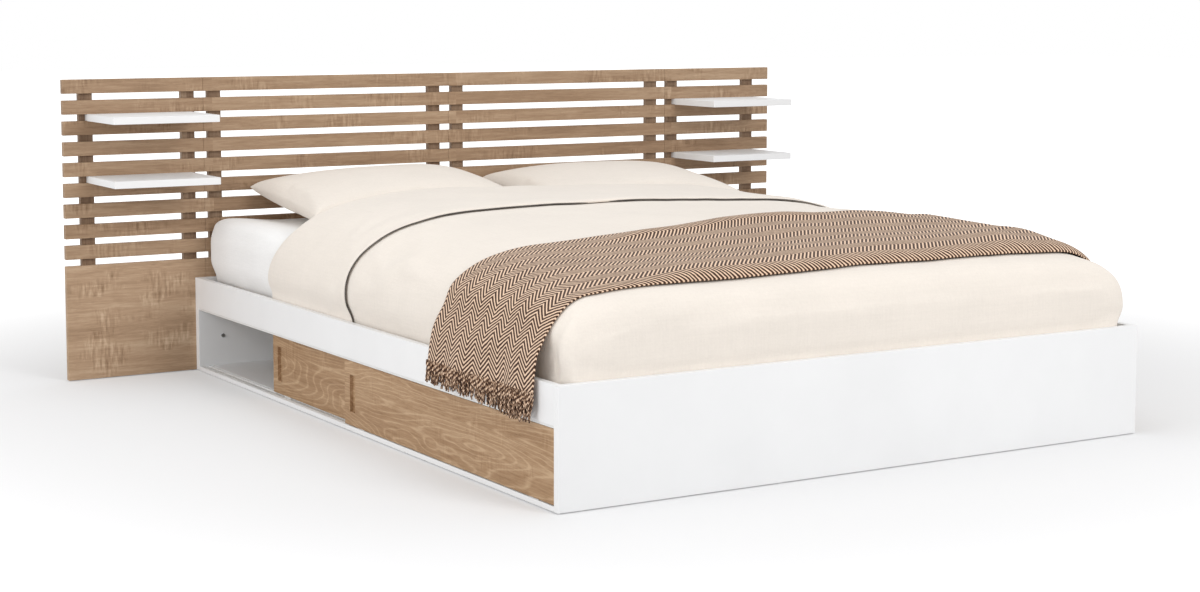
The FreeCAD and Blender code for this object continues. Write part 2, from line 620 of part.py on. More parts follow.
def mattress_form(grow):
    """The mattress, or the space it needs with a clearance all round."""
    edge = MATTRESS_EDGE_RADIUS
    bottom_edge = edge / 3
    levels = [(MATTRESS_BOTTOM - grow, bottom_edge / 2), (MATTRESS_BOTTOM + bottom_edge, 0.0)]
    for step in range(5):
        turn = math.radians(90 * step / 4)
        z = MATTRESS_TOP - MATTRESS_CROWN - edge * (1 - math.sin(turn))
        levels.append((z, edge * (1 - math.cos(turn))))
    levels.append((MATTRESS_TOP - MATTRESS_CROWN / 4, MATTRESS_WIDTH / 6))
    levels.append((MATTRESS_TOP, MATTRESS_WIDTH / 3))
    wires = []
    for z, inset in levels:
        half_x = MATTRESS_WIDTH / 2 - inset + grow
        half_y = MATTRESS_LENGTH / 2 - inset + grow
        radius = max(MATTRESS_CORNER_RADIUS - inset / 2, MATTRESS_CORNER_RADIUS / 2)
        lift = grow if z > MATTRESS_BOTTOM else 0.0
        wires.append(rounded_outline(half_x, half_y, radius, z + lift))
    return Part.makeLoft(wires, True, True)


def duvet_heights(y):
    """Heights of the duvet's shoulder and crest, which rise from the foot and level off at the flap."""
    to_flap = max(FLAP_Y - y, 0.0) / (FLAP_Y - DUVET_FOOT_Y)
    rise = 1 - to_flap ** DUVET_RISE_POWER
    shoulder = MATTRESS_TOP + DUVET_EDGE_LOFT_FOOT + rise * (DUVET_EDGE_LOFT_HEAD - DUVET_EDGE_LOFT_FOOT)
    crown = DUVET_CROWN_FOOT + rise * (DUVET_CROWN_HEAD - DUVET_CROWN_FOOT)
    return shoulder, shoulder + crown


def duvet_section(y, grow, drop=0.0, narrow=0.0):
    """Closed outline across the bed: two upright sides, two round shoulders and a crowned top."""
    shoulder, crest = duvet_heights(y)
    shoulder += grow - drop
    crest += grow - drop
    half = DUVET_HALF + grow - narrow
    radius = DUVET_SHOULDER + grow
    bend = radius * (1 - math.sqrt(0.5))
    left_low = V(-half, y, DUVET_BOTTOM)
    left_side = V(-half, y, shoulder - radius)
    left_bend = V(-half + bend, y, shoulder - bend)
    left_top = V(-half + radius, y, shoulder)
    right_top = V(half - radius, y, shoulder)
    right_bend = V(half - bend, y, shoulder - bend)
    right_side = V(half, y, shoulder - radius)
    right_low = V(half, y, DUVET_BOTTOM)
    edges = [
        Part.makeLine(left_low, left_side),
        Part.Arc(left_side, left_bend, left_top).toShape(),
        Part.Arc(left_top, V(0, y, crest), right_top).toShape(),
        Part.Arc(right_top, right_bend, right_side).toShape(),
        Part.makeLine(right_side, right_low),
        Part.makeLine(right_low, left_low),
    ]
    return Part.Wire(edges)


def fold_stations(head_y, radius):
    """Places and drops that round off the head end of a fold."""
    stations = []
    for degrees in (60, 30, 0):
        turn = math.radians(degrees)
        stations.append((head_y - radius * (1 - math.cos(turn)), radius * (1 - math.sin(turn)) / 2))
    return stations


def duvet_body(grow):
    """The single layer of the duvet from the foot to under the flap, or the space it needs."""
    foot = []
    for degrees in (0, 30, 60, 90):
        turn = math.radians(degrees)
        rounding = DUVET_FOOT_RADIUS * (1 - math.sin(turn))
        y = DUVET_FOOT_Y + DUVET_FOOT_RADIUS * (1 - math.cos(turn))
        foot.append(duvet_section(y, grow, rounding, rounding / 3))
    places = spread(8, DUVET_FOOT_Y + 2 * DUVET_FOOT_RADIUS, FLAP_Y + DUVET_FOLD_RADIUS)
    return Part.makeLoft(foot + [duvet_section(y, grow) for y in places], True, True)


def build_duvet():
    flap_places = spread(4, FLAP_Y, DUVET_HEAD_Y - DUVET_FOLD_RADIUS)
    flap_wires = [duvet_section(y, FLAP_STEP) for y in flap_places]
    folded = fold_stations(DUVET_HEAD_Y, DUVET_FOLD_RADIUS)
    flap_wires += [duvet_section(y, FLAP_STEP, drop) for y, drop in folded]
    flap = Part.makeLoft(flap_wires, True, True)
    save("duvet", [duvet_body(0.0).fuse(flap).cut(mattress_form(SOFT_CLEARANCE))])


def pillow_outline(scale, z):
    """Level outline of a pillow about its own middle, with its four sides drawn in between the corners."""
    half_x = PILLOW_WIDTH / 2 * scale
    half_y = PILLOW_DEPTH / 2 * scale
    pinch = PILLOW_PINCH * scale
    corners = [V(half_x, half_y, z), V(-half_x, half_y, z), V(-half_x, -half_y, z), V(half_x, -half_y, z)]
    in_x = half_x - pinch
    in_y = half_y - pinch
    drawn_in = [V(0, in_y, z), V(-in_x, 0, z), V(0, -in_y, z), V(in_x, 0, z)]
    edges = [Part.Arc(corners[k], drawn_in[k], corners[(k + 1) % 4]).toShape() for k in range(4)]
    return Part.Wire(edges)


def build_pillows():
    wires = []
    for degrees in range(-80, 81, 20):
        turn = math.radians(degrees)
        wires.append(pillow_outline(math.cos(turn), PILLOW_HEIGHT / 2 * math.sin(turn)))
    form = Part.makeLoft(wires, True, True)
    form.rotate(V(0, 0, 0), V(1, 0, 0), PILLOW_TILT)
    lowest = form.BoundBox.ZMin
    for name, side in (("left_pillow", -1), ("right_pillow", 1)):
        pillow = form.copy()
        x = PILLOWS_ASIDE + side * (PILLOW_WIDTH + PILLOW_SPACING) / 2
        y = HEADBOARD_Y - PILLOW_HEAD_GAP - form.BoundBox.YMax
        pillow.translate(V(x, y, MATTRESS_TOP - PILLOW_SINK - lowest))
        save(name, [pillow.cut(mattress_form(SOFT_CLEARANCE))])


def throw_section(y, fold):
    """Closed outline of the throw across the bed: it lies on the duvet and hangs outside the rails."""
    shoulder, crest = duvet_heights(y)
    hem = BASE_HEIGHT - THROW_HANG
    inner_x = HALF_BASE + THROW_OVERHANG + fold
    drop_z = BASE_HEIGHT + DUVET_SHOULDER / 2

    def outline(lift):
        top_x = DUVET_HALF - DUVET_SHOULDER
        side_x = inner_x + lift
        top_z = shoulder + lift
        bend_x = top_x + (side_x - top_x) * math.sqrt(0.5)
        bend_z = drop_z + (top_z - drop_z) * math.sqrt(0.5)
        crest_z = crest + lift
        right = [V(top_x, y, top_z), V(bend_x, y, bend_z), V(side_x, y, drop_z), V(side_x, y, hem)]
        return right, [V(-p.x, p.y, p.z) for p in right], V(0, y, crest_z)

    edges = []
    low_right, low_left, low_crest = outline(0.0)
    high_right, high_left, high_crest = outline(THROW_THICKNESS)
    for right, left, top in ((low_right, low_left, low_crest), (high_right, high_left, high_crest)):
        run = [
            Part.makeLine(left[3], left[2]),
            Part.Arc(left[2], left[1], left[0]).toShape(),
            Part.Arc(left[0], top, right[0]).toShape(),
            Part.Arc(right[0], right[1], right[2]).toShape(),
            Part.makeLine(right[2], right[3]),
        ]
        edges.append(run)
    hem_right = Part.makeLine(low_right[3], high_right[3])
    hem_left = Part.makeLine(high_left[3], low_left[3])
    return Part.Wire(edges[0] + [hem_right] + edges[1][::-1] + [hem_left])


def build_throw():
    first = HEADBOARD_Y - max(THROW_FRONT_LEFT, THROW_FRONT_RIGHT)
    last = HEADBOARD_Y - min(THROW_BACK_LEFT, THROW_BACK_RIGHT)
    places = spread(4 * THROW_FOLDS + 1, first, last)
    wires = []
    for k, y in enumerate(places):
        fold = THROW_FOLD_DEPTH * (1 - math.cos(math.pi * k / 2)) / 2
        wires.append(throw_section(y, fold))
    draped = Part.makeLoft(wires, True, True)
    reach = HALF_BASE + THROW_OVERHANG + THROW_FOLD_DEPTH + 2 * THROW_THICKNESS
    corners = [
        V(-reach, HEADBOARD_Y - THROW_FRONT_LEFT, 0),
        V(reach, HEADBOARD_Y - THROW_FRONT_RIGHT, 0),
        V(reach, HEADBOARD_Y - THROW_BACK_RIGHT, 0),
        V(-reach, HEADBOARD_Y - THROW_BACK_LEFT, 0),
    ]
    plan = Part.Face(Part.makePolygon(corners + corners[:1]))
    trimmed = draped.common(plan.extrude(V(0, 0, HEADBOARD_TOP)))
    save("throw", [trimmed.cut(duvet_body(SOFT_CLEARANCE))])


def main():
    for module in MODULES:
        build_base_panel(module)
        build_slats(module)
        build_posts(module)
    build_shelves()
    build_headboard_fasteners()
    build_panels()
    build_brackets()
    build_base_sides()
    build_middle()
    build_glides()
    build_doors()
    save("mattress", [mattress_form(0.0)])
    build_duvet()
    build_pillows()
    build_throw()


main()
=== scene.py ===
import json
import math

import bmesh
import bpy
import numpy as np
from mathutils import Matrix, Vector
from mathutils import noise as perlin
from mathutils.bvhtree import BVHTree


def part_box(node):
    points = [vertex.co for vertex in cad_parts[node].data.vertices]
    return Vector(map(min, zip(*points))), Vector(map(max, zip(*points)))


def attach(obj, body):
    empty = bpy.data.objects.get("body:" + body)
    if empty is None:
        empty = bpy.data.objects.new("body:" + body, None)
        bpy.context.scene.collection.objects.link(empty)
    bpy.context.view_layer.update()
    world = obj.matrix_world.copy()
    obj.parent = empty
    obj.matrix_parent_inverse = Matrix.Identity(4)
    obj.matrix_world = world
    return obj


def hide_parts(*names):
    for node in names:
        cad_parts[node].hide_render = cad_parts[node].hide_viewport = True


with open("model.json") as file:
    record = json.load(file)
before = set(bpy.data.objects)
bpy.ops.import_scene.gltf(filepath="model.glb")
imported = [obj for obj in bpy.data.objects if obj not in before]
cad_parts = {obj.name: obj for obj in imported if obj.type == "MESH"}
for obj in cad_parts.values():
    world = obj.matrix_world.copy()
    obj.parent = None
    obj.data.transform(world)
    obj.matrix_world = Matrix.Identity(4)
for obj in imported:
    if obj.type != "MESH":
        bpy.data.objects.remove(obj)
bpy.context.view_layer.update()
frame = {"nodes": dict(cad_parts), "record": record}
scene = bpy.context.scene
random = np.random.default_rng(11)

# Places taken from the frame, in metres. X runs across the bed, +Y points to the headboard.
MATTRESS_LOW, MATTRESS_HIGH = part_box("mattress")
DUVET_LOW, DUVET_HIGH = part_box("duvet")
SLATS_LOW, SLATS_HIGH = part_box("left_centre_slats")
RAIL_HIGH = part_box("right_side_rail")[1]
PANEL_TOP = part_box("left_centre_base_panel")[1].z
FRINGE_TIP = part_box("throw")[0].z
MATTRESS_TOP = MATTRESS_HIGH.z
RAIL_TOP = RAIL_HIGH.z
RAIL_FACE = RAIL_HIGH.x

# The duvet: its head end is turned down as a flap, whose edge lies across the bed
DUVET_HEM = DUVET_LOW.z
DUVET_FOOT = DUVET_LOW.y
DUVET_HEAD = DUVET_HIGH.y
FLAP_LENGTH = 0.52
FLAP_EDGE = DUVET_HEAD - FLAP_LENGTH
FLAP_THICKNESS = 0.008
FLAP_LIFT = 0.0015
FLAP_SIDE_ROUND = 0.004
# The hem is tucked inside the rails, and the sides are fullest at the waist
HEM_HALF = 0.8125
HEM_GROWTH = 0.0075
FLAP_HEM_HALF = HEM_HALF + 0.0078
WAIST = 0.331
HELD_BELOW = RAIL_TOP + 0.012
TUCKED_BELOW = RAIL_TOP + 0.006
# Height of the crest over the mattress, and the rounded ends
CREST_FOOT = 0.012
CREST_HEAD = 0.103
CREST_POWER = 2.0
FOOT_ROUND = 0.055
FOOT_SIDE_ROUND = 0.03
HEAD_ROUND = 0.045
# How the section across the bed changes along it, from the foot to the head. It is a superellipse: its
# half width on each side, its power across on each side, its power upwards, and its fall to the right
SECTION_Y = (DUVET_FOOT, -0.484, FLAP_EDGE, DUVET_HEAD)
SECTION_HALF_LEFT = (0.820, 0.828, 0.830, 0.828)
SECTION_HALF_RIGHT = (0.834, 0.832, 0.830, 0.828)
SECTION_SQUARE_LEFT = (9.0, 4.8, 4.5, 4.5)
SECTION_SQUARE_RIGHT = (11.0, 7.0, 4.8, 4.5)
SECTION_ROUND = (3.0, 2.2, 2.2, 2.2)
SECTION_TILT = (0.0, 0.0, 0.025, 0.025)
TILT_FROM = -0.25
TILT_REACH = 0.62
# Steps of the lattice, up each side, across the top and along the bed
SIDE_STEPS = 16
TOP_STEPS = 84
ROW_STEP = 0.018
# The body ends under the flap. It starts smaller by what it swells in the simulation
BODY_END = DUVET_HEAD - 0.065
SWELL = 0.0035
# The upright crease of the tucked corners at the foot
CREASE_SIDE = (0.74, 0.79)
CREASE_SETBACK = 0.042
CREASE_DEPTH = 0.011
CREASE_FRONT = 0.007
CREASE_BACK = 0.03
CREASE_TOP = 0.44
CREASE_FADE = 0.05
# A dark tube along the flap's edge is painted shade: it stands in for the crevice shadow under the edge. It
# sinks into the fabric near the middle, where that shadow fades out
SHADOW_TUBE_RADIUS = 0.0016
SHADOW_TUBE_STEPS = 260
SUNK_AT = -0.09
SUNK_REACH = 0.11
SUNK_DEPTH = 0.006
# The duvet's inner layer lies over the mattress, whose edges it presses round
INNER_GAP = 0.003
INNER_HALF = MATTRESS_HIGH.x + INNER_GAP
INNER_TOP = MATTRESS_TOP + 0.004
INNER_ROUND = 0.10
INNER_FOOT = MATTRESS_LOW.y - INNER_GAP
INNER_FOOT_ROUND = 0.04
INNER_FOOT_DROP = 0.045
PADDING = 0.006

# The mattress in its fitted sheet, which bulges a little where the duvet leaves it bare
SHEET_ROUND = 0.055
PRESSED_ROUND = 0.092
SHEET_END_ROUND = 0.03
SHEET_BULGE = 0.012
HEAD_BULGE = 0.016

# The pillows lean back, have pointed corners and are flattened where they lie
PILLOW_TILT = math.radians(6)
PILLOW_EAR = 0.05
PILLOW_SINK = 0.014
PILLOW_PRESS = 0.012

# The throw lies across the bed, a little askew, and hangs down both sides. Its back and front edges are
# given at the left and right, and its flat size is its width and length
THROW_BACK = (-0.517, -0.378)
THROW_FRONT = (-0.992, -0.937)
THROW_HALF_THICKNESS = 0.0028
THROW_CLEARANCE = 0.0018
THROW_HEM = 0.238
THROW_FLARE = 0.026
THROW_FLAT = (0.53, 2.0)
# Its fringe hangs lower towards the foot. The strands start inside the hem, in two layers
FRINGE_DIP = 0.013
STRANDS = 190
STRAND_RINGS = 9
STRAND_SIDES = 7
STRAND_RADIUS = 0.0023
STRAND_KNOT = 0.0016
STRAND_LAYER = 0.0022
STRAND_ROOT = 0.012
# Its herringbone: the width of a column, the step from rib to rib, the ribs' slope and their wander
COLUMN = THROW_FLAT[0] / 14.3
RIB = 0.0116
RIB_SLOPE = 0.82
RIB_WANDER = 0.006


def smooth_step(low, high, value):
    """0 up to low, 1 from high on, and a smooth rise between them. Low may be the larger one."""
    share = np.clip((np.asarray(value, float) - low) / (high - low), 0, 1)
    return share * share * (3 - 2 * share)


def bell(value, centre, width):
    """A smooth bump of height 1."""
    return np.exp(-((value - centre) / width) ** 2)


def waves(points, scale, seed):
    """Smooth noise from about -1 to 1 at each point."""
    shift = Vector((seed * 7.3, seed * 3.1, seed * 5.7))
    return np.array([perlin.noise(Vector(p) * scale + shift) for p in points])


def resampled(line, count):
    """Points at equal steps along a polyline."""
    steps = np.concatenate([[0], np.cumsum(np.linalg.norm(np.diff(line, axis=0), axis=1))])
    at = np.linspace(0, steps[-1], count + 1)
    return np.column_stack([np.interp(at, steps, line[:, k]) for k in range(line.shape[1])])


def mesh_object(name, points, faces, uv=None):
    """A smooth-shaded mesh, with the weave's coordinates in metres where a piece has them."""
    mesh = bpy.data.meshes.new(name)
    mesh.from_pydata([tuple(p) for p in points], [], [tuple(int(i) for i in f) for f in faces])
    if uv is not None:
        layer = mesh.uv_layers.new(name="weave")
        loops = np.zeros(len(mesh.loops), np.int32)
        mesh.loops.foreach_get("vertex_index", loops)
        layer.data.foreach_set("uv", np.asarray(uv, np.float32)[loops].ravel())
    mesh.polygons.foreach_set("use_smooth", [True] * len(mesh.polygons))
    mesh.update()
    piece = bpy.data.objects.new(name, mesh)
    scene.collection.objects.link(piece)
    return piece


def outward(piece):
    """Turns all faces of a closed mesh outwards."""
    work = bmesh.new()
    work.from_mesh(piece.data)
    bmesh.ops.recalc_face_normals(work, faces=work.faces)
    work.to_mesh(piece.data)
    work.free()
    return piece


def subdivided(piece):
    step = piece.modifiers.new("smooth", "SUBSURF")
    step.levels = 1
    step.render_levels = 1
    return piece


def finished(piece, slot, *nodes, material=None):
    """Gives a piece its slot's material or one of its own, and its place on the bed."""
    piece.data.materials.clear()
    piece.data.materials.append(material or FINISHES[slot])
    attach(piece, "bed")
    if nodes:
        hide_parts(*nodes)
    return piece


def closed_shell(name, outer, inner, quads):
    """Two layers with the same lattice, joined along their open edges."""
    count = len(outer)
    owners = {}
    for quad in quads:
        for a, b in zip(quad, quad[1:] + quad[:1]):
            owners.setdefault((min(a, b), max(a, b)), []).append((a, b))
    rims = [pair[0] for pair in owners.values() if len(pair) == 1]
    faces = [list(q) for q in quads]
    faces += [[i + count for i in reversed(q)] for q in quads]
    faces += [[b, a, a + count, b + count] for a, b in rims]
    return outward(mesh_object(name, np.vstack([outer, inner]), faces))


SETTLE_FRAMES = 20


def settled(points, faces, pinned, pressure, slack, cap):
    """The points after a short cloth simulation, each moved by no more than the cap."""
    piece = mesh_object("settling", points, faces)
    group = piece.vertex_groups.new(name="pin")
    group.add([int(i) for i in np.nonzero(pinned)[0]], 1.0, "REPLACE")
    cloth = piece.modifiers.new("cloth", "CLOTH")
    cloth.settings.quality = 6
    cloth.settings.mass = 0.25
    cloth.settings.vertex_group_mass = "pin"
    cloth.settings.use_pressure = True
    cloth.settings.uniform_pressure_force = pressure
    cloth.settings.shrink_min = -slack
    cloth.settings.effector_weights.gravity = 0
    cloth.collision_settings.use_collision = False
    cloth.point_cache.frame_start = 1
    cloth.point_cache.frame_end = SETTLE_FRAMES
    for step in range(1, SETTLE_FRAMES + 1):
        scene.frame_set(step)
    shown = piece.evaluated_get(bpy.context.evaluated_depsgraph_get())
    moved = np.zeros(len(points) * 3)
    shown.data.vertices.foreach_get("co", moved)
    shift = moved.reshape(-1, 3) - points
    length = np.maximum(np.linalg.norm(shift, axis=1, keepdims=True), 1e-9)
    bpy.data.objects.remove(piece)
    scene.frame_set(1)
    return points + shift / length * cap * np.tanh(length / cap)


def neighbours(faces):
    """Each point's neighbours along face edges, as two matching index arrays."""
    pairs = set()
    for face in faces:
        for a, b in zip(face, list(face[1:]) + [face[0]]):
            pairs.add((a, b))
            pairs.add((b, a))
    ends = np.array(sorted(pairs))
    return ends[:, 0], ends[:, 1]


def relaxed(points, faces, free, rounds, share=0.5):
    """Laplacian smoothing of the points that are free to move."""
    here, there = neighbours(faces)
    degree = np.bincount(here, minlength=len(points))[:, None]
    points = points.copy()
    for _ in range(rounds):
        total = np.zeros_like(points)
        np.add.at(total, here, points[there])
        points += share * free[:, None] * (total / degree - points)
    return points


class Nodes:
    """Short calls that add nodes to a tree and link them."""

    def __init__(self, tree):
        self.tree = tree

    def put(self, socket, value):
        if isinstance(value, bpy.types.NodeSocket):
            self.tree.links.new(value, socket)
        else:
            socket.default_value = value

    def node(self, kind, inputs, **settings):
        """The first output of a new node."""
        node = self.tree.nodes.new("ShaderNode" + kind)
        for key, value in settings.items():
            setattr(node, key, value)
        for index, value in enumerate(inputs):
            self.put(node.inputs[index], value)
        return node.outputs[0]

    def math(self, operation, *inputs):
        return self.node("Math", inputs, operation=operation)

    def swayed(self, base, noise, share):
        """A value moved by a share of how far a noise departs from its middle."""
        return self.math("MULTIPLY_ADD", self.math("SUBTRACT", noise, 0.5), share, base)

    def vector(self, x, y, z):
        return self.node("CombineXYZ", (x, y, z))

    def stretched(self, place, scale):
        return self.node("VectorMath", (place, scale), operation="MULTIPLY")

    def place(self):
        """Object coordinates, and each of their three parts."""
        whole = self.tree.nodes.new("ShaderNodeTexCoord").outputs["Object"]
        parts = self.tree.nodes.new("ShaderNodeSeparateXYZ")
        self.put(parts.inputs[0], whole)
        return whole, parts.outputs[0], parts.outputs[1], parts.outputs[2]

    def noise(self, place, scale, detail=3.0, rough=0.5):
        node = self.tree.nodes.new("ShaderNodeTexNoise")
        self.put(node.inputs["Vector"], place)
        node.inputs["Scale"].default_value = scale
        node.inputs["Detail"].default_value = detail
        node.inputs["Roughness"].default_value = rough
        return node.outputs[0]

    def spread(self, value, low, high, start=0.0, end=1.0, smooth=False):
        node = self.tree.nodes.new("ShaderNodeMapRange")
        node.interpolation_type = "SMOOTHSTEP" if smooth else "LINEAR"
        self.put(node.inputs[0], value)
        for index, number in enumerate((low, high, start, end), 1):
            self.put(node.inputs[index], number)
        return node.outputs[0]

    def ramp(self, value, stops):
        """A colour ramp through stops of a place and a colour."""
        stops = list(stops)
        node = self.tree.nodes.new("ShaderNodeValToRGB")
        elements = node.color_ramp.elements
        while len(elements) < len(stops):
            elements.new(0.5)
        for element, (at, colour) in zip(elements, stops):
            element.position = at
            element.color = (*colour, 1)
        self.put(node.inputs[0], value)
        return node.outputs[0]

    def tinted(self, colour, tint):
        """A colour times a grey value."""
        node = self.tree.nodes.new("ShaderNodeMix")
        node.data_type = "RGBA"
        node.blend_type = "MULTIPLY"
        grey = self.node("CombineColor", (tint, tint, tint))
        for index, value in ((0, 1.0), (6, (*colour, 1)), (7, grey)):
            self.put(node.inputs[index], value)
        return node.outputs[2]

    def bump(self, height, distance):
        node = self.tree.nodes.new("ShaderNodeBump")
        node.inputs["Strength"].default_value = 1.0
        node.inputs["Distance"].default_value = distance
        self.put(node.inputs["Height"], height)
        return node.outputs[0]


class Shader(Nodes):
    """A material with these values on its surface shader."""

    def __init__(self, name, sockets):
        self.material = bpy.data.materials.new(name)
        self.material.use_nodes = True
        super().__init__(self.material.node_tree)
        self.surface = self.tree.nodes["Principled BSDF"]
        for socket, value in sockets.items():
            self.surface.inputs[socket].default_value = value

    def result(self, **sockets):
        for name, value in sockets.items():
            self.put(self.surface.inputs[name.replace("_", " ")], value)
        return self.material


def oak(name, along, tones, board, figure, lime, saw):
    """Wood foil with its grain along one axis. Tones go from dark to light, and board gives the size of
    the cells across which each board has a tone and a grain of its own. Figure sets how many growth
    rings there are, lime how pale their lines are, and saw how strong the marks across the grain."""
    shade = Shader(name, {"Specular IOR Level": 0.3})
    _, *parts = shade.place()
    u = parts[along]
    v, w = [parts[k] for k in range(3) if k != along]
    cells = [shade.math("FLOOR", shade.math("DIVIDE", shade.math("ADD", p, 4.0 - at), size))
             for p, (at, size) in zip(parts, board)]
    own = shade.node("TexWhiteNoise", (shade.vector(*cells),), noise_dimensions="3D")
    u_own = shade.math("MULTIPLY_ADD", own, 9.0, u)
    w_own = shade.math("MULTIPLY_ADD", own, 23.0, w)
    plain = shade.vector(u_own, v, w_own)
    bend = shade.noise(shade.stretched(plain, (4.0, 10.0, 10.0)), 1.0, 2.0)
    grain = shade.vector(u_own, shade.math("MULTIPLY_ADD", bend, 0.035, v), w_own)

    def grained(length, width, detail, rough=0.5):
        """Noise in streaks of about this length and width."""
        return shade.noise(shade.stretched(grain, (1 / length, 1 / width, 1 / width)), 1.0, detail, rough)

    broad = grained(0.9, 0.055, 3.0)
    streak = grained(0.16, 0.0075, 4.0, 0.65)
    fibre = grained(0.04, 0.0021, 3.0, 0.6)
    pores = shade.spread(grained(0.022, 0.0011, 1.0), 0.60, 0.74)
    rings = grained(1.0, 0.12, 1.0)
    lines = shade.math("PINGPONG", shade.math("MULTIPLY", rings, figure), 0.5)
    lines = shade.spread(lines, 0.30, 0.5, 0.0, 1.0, True)
    patch = shade.noise(shade.stretched(plain, (10.0, 13.0, 13.0)), 1.0, 2.0)
    patch = shade.spread(patch, 0.50, 0.64, 0.0, 1.0, True)
    marks = shade.noise(shade.stretched(plain, (130.0, 24.0, 24.0)), 1.0, 2.0, 0.6)
    marks = shade.math("MULTIPLY", shade.math("SUBTRACT", marks, 0.5), patch)
    tone = 0.5
    for part, share in ((broad, 0.70), (streak, 0.75), (fibre, 0.45), (own, 0.26)):
        tone = shade.swayed(tone, part, share)
    for part, share in ((lines, lime), (marks, saw), (pores, -0.14)):
        tone = shade.math("MULTIPLY_ADD", part, share, tone)
    dark, middle, light = tones
    colour = shade.ramp(tone, ((0.12, dark), (0.5, middle), (0.88, light)))
    rough = shade.spread(tone, 0.1, 0.9, 0.62, 0.48)
    height = shade.math("MULTIPLY_ADD", fibre, 0.6, shade.math("MULTIPLY", pores, -0.7))
    height = shade.math("MULTIPLY_ADD", marks, saw * 0.7, height)
    return shade.result(Base_Color=colour, Roughness=rough, Normal=shade.bump(height, 0.0003))


def board_white(name, colour):
    """Coated board: a faint print texture, a satin surface and very slight clouding."""
    shade = Shader(name, {"Specular IOR Level": 0.4})
    whole, *_ = shade.place()
    cloud = shade.noise(whole, 5.0, 3.0)
    grit = shade.noise(whole, 1400.0, 2.0)
    tint = shade.spread(cloud, 0.3, 0.7, 0.965, 1.0)
    colour = shade.tinted(colour, tint)
    rough = shade.spread(shade.noise(whole, 60.0, 3.0), 0.3, 0.7, 0.40, 0.52)
    return shade.result(Base_Color=colour, Roughness=rough, Normal=shade.bump(grit, 0.00008))


def timber(name):
    """Planed softwood of the parts inside the base."""
    shade = Shader(name, {"Specular IOR Level": 0.25})
    whole, *_ = shade.place()
    grain = shade.stretched(whole, (7.0, 34.0, 34.0))
    rings = shade.noise(grain, 1.0, 4.0, 0.6)
    fibre = shade.noise(shade.stretched(whole, (40.0, 500.0, 500.0)), 1.0, 3.0)
    tone = shade.swayed(rings, fibre, 0.4)
    dark, middle, light = TIMBER_TONES
    colour = shade.ramp(tone, ((0.3, dark), (0.5, middle), (0.75, light)))
    rough = shade.spread(tone, 0.3, 0.7, 0.75, 0.6)
    return shade.result(Base_Color=colour, Roughness=rough, Normal=shade.bump(fibre, 0.0004))


def plastic(name):
    """Extruded white plastic with fine draw lines along Y."""
    shade = Shader(name, {"Specular IOR Level": 0.45})
    whole, *_ = shade.place()
    drawn = shade.noise(shade.stretched(whole, (900.0, 3.0, 900.0)), 1.0, 2.0)
    dust = shade.noise(whole, 35.0, 4.0)
    tint = shade.spread(dust, 0.3, 0.75, 1.0, 0.93)
    colour = shade.tinted((0.80, 0.80, 0.79), tint)
    rough = shade.spread(dust, 0.3, 0.7, 0.34, 0.5)
    return shade.result(Base_Color=colour, Roughness=rough, Normal=shade.bump(drawn, 0.0001))


def zinc(name):
    """Zinc-plated steel: brushed, with a slightly mottled plating."""
    shade = Shader(name, {"Metallic": 1.0})
    whole, *_ = shade.place()
    mottle = shade.noise(whole, 160.0, 4.0, 0.6)
    brushed = shade.noise(shade.stretched(whole, (60.0, 60.0, 1800.0)), 1.0, 2.0)
    colour = shade.ramp(mottle, ((0.3, (0.46, 0.47, 0.48)), (0.7, (0.66, 0.67, 0.68))))
    rough = shade.spread(mottle, 0.3, 0.7, 0.28, 0.44)
    return shade.result(Base_Color=colour, Roughness=rough, Normal=shade.bump(brushed, 0.00006))


def cloth(name, colour, slub, thread):
    """Plain-woven bedding: threads along all three axes, with slubs and a soft sheen."""
    shade = Shader(name, {"Specular IOR Level": 0.2, "Sheen Weight": 0.18, "Sheen Roughness": 0.5})
    whole, *_ = shade.place()
    runs = []
    for axis in range(3):
        across = [slub] * 3
        across[axis] = slub * 0.06
        runs.append(shade.noise(shade.stretched(whole, tuple(across)), 1.0, 3.0, 0.6))
    slubs = shade.math("ADD", runs[0], shade.math("ADD", runs[1], runs[2]))
    fine = shade.noise(whole, thread, 2.0)
    cloud = shade.noise(whole, 7.0, 3.0)
    tint = shade.spread(slubs, 1.15, 1.85, 0.97, 1.015)
    tint = shade.math("MULTIPLY", tint, shade.spread(cloud, 0.3, 0.7, 0.975, 1.01))
    colour = shade.tinted(colour, tint)
    rough = shade.spread(slubs, 1.2, 1.8, 0.92, 0.8)
    height = shade.math("MULTIPLY_ADD", fine, 0.5, slubs)
    return shade.result(Base_Color=colour, Roughness=rough, Normal=shade.bump(height, 0.0004))


def weave_place(shade):
    """The cloth's own coordinates in metres: across its width and along its length."""
    uv = shade.tree.nodes.new("ShaderNodeUVMap")
    uv.uv_map = "weave"
    parts = shade.tree.nodes.new("ShaderNodeSeparateXYZ")
    shade.put(parts.inputs[0], uv.outputs[0])
    return parts.outputs[0], parts.outputs[1]


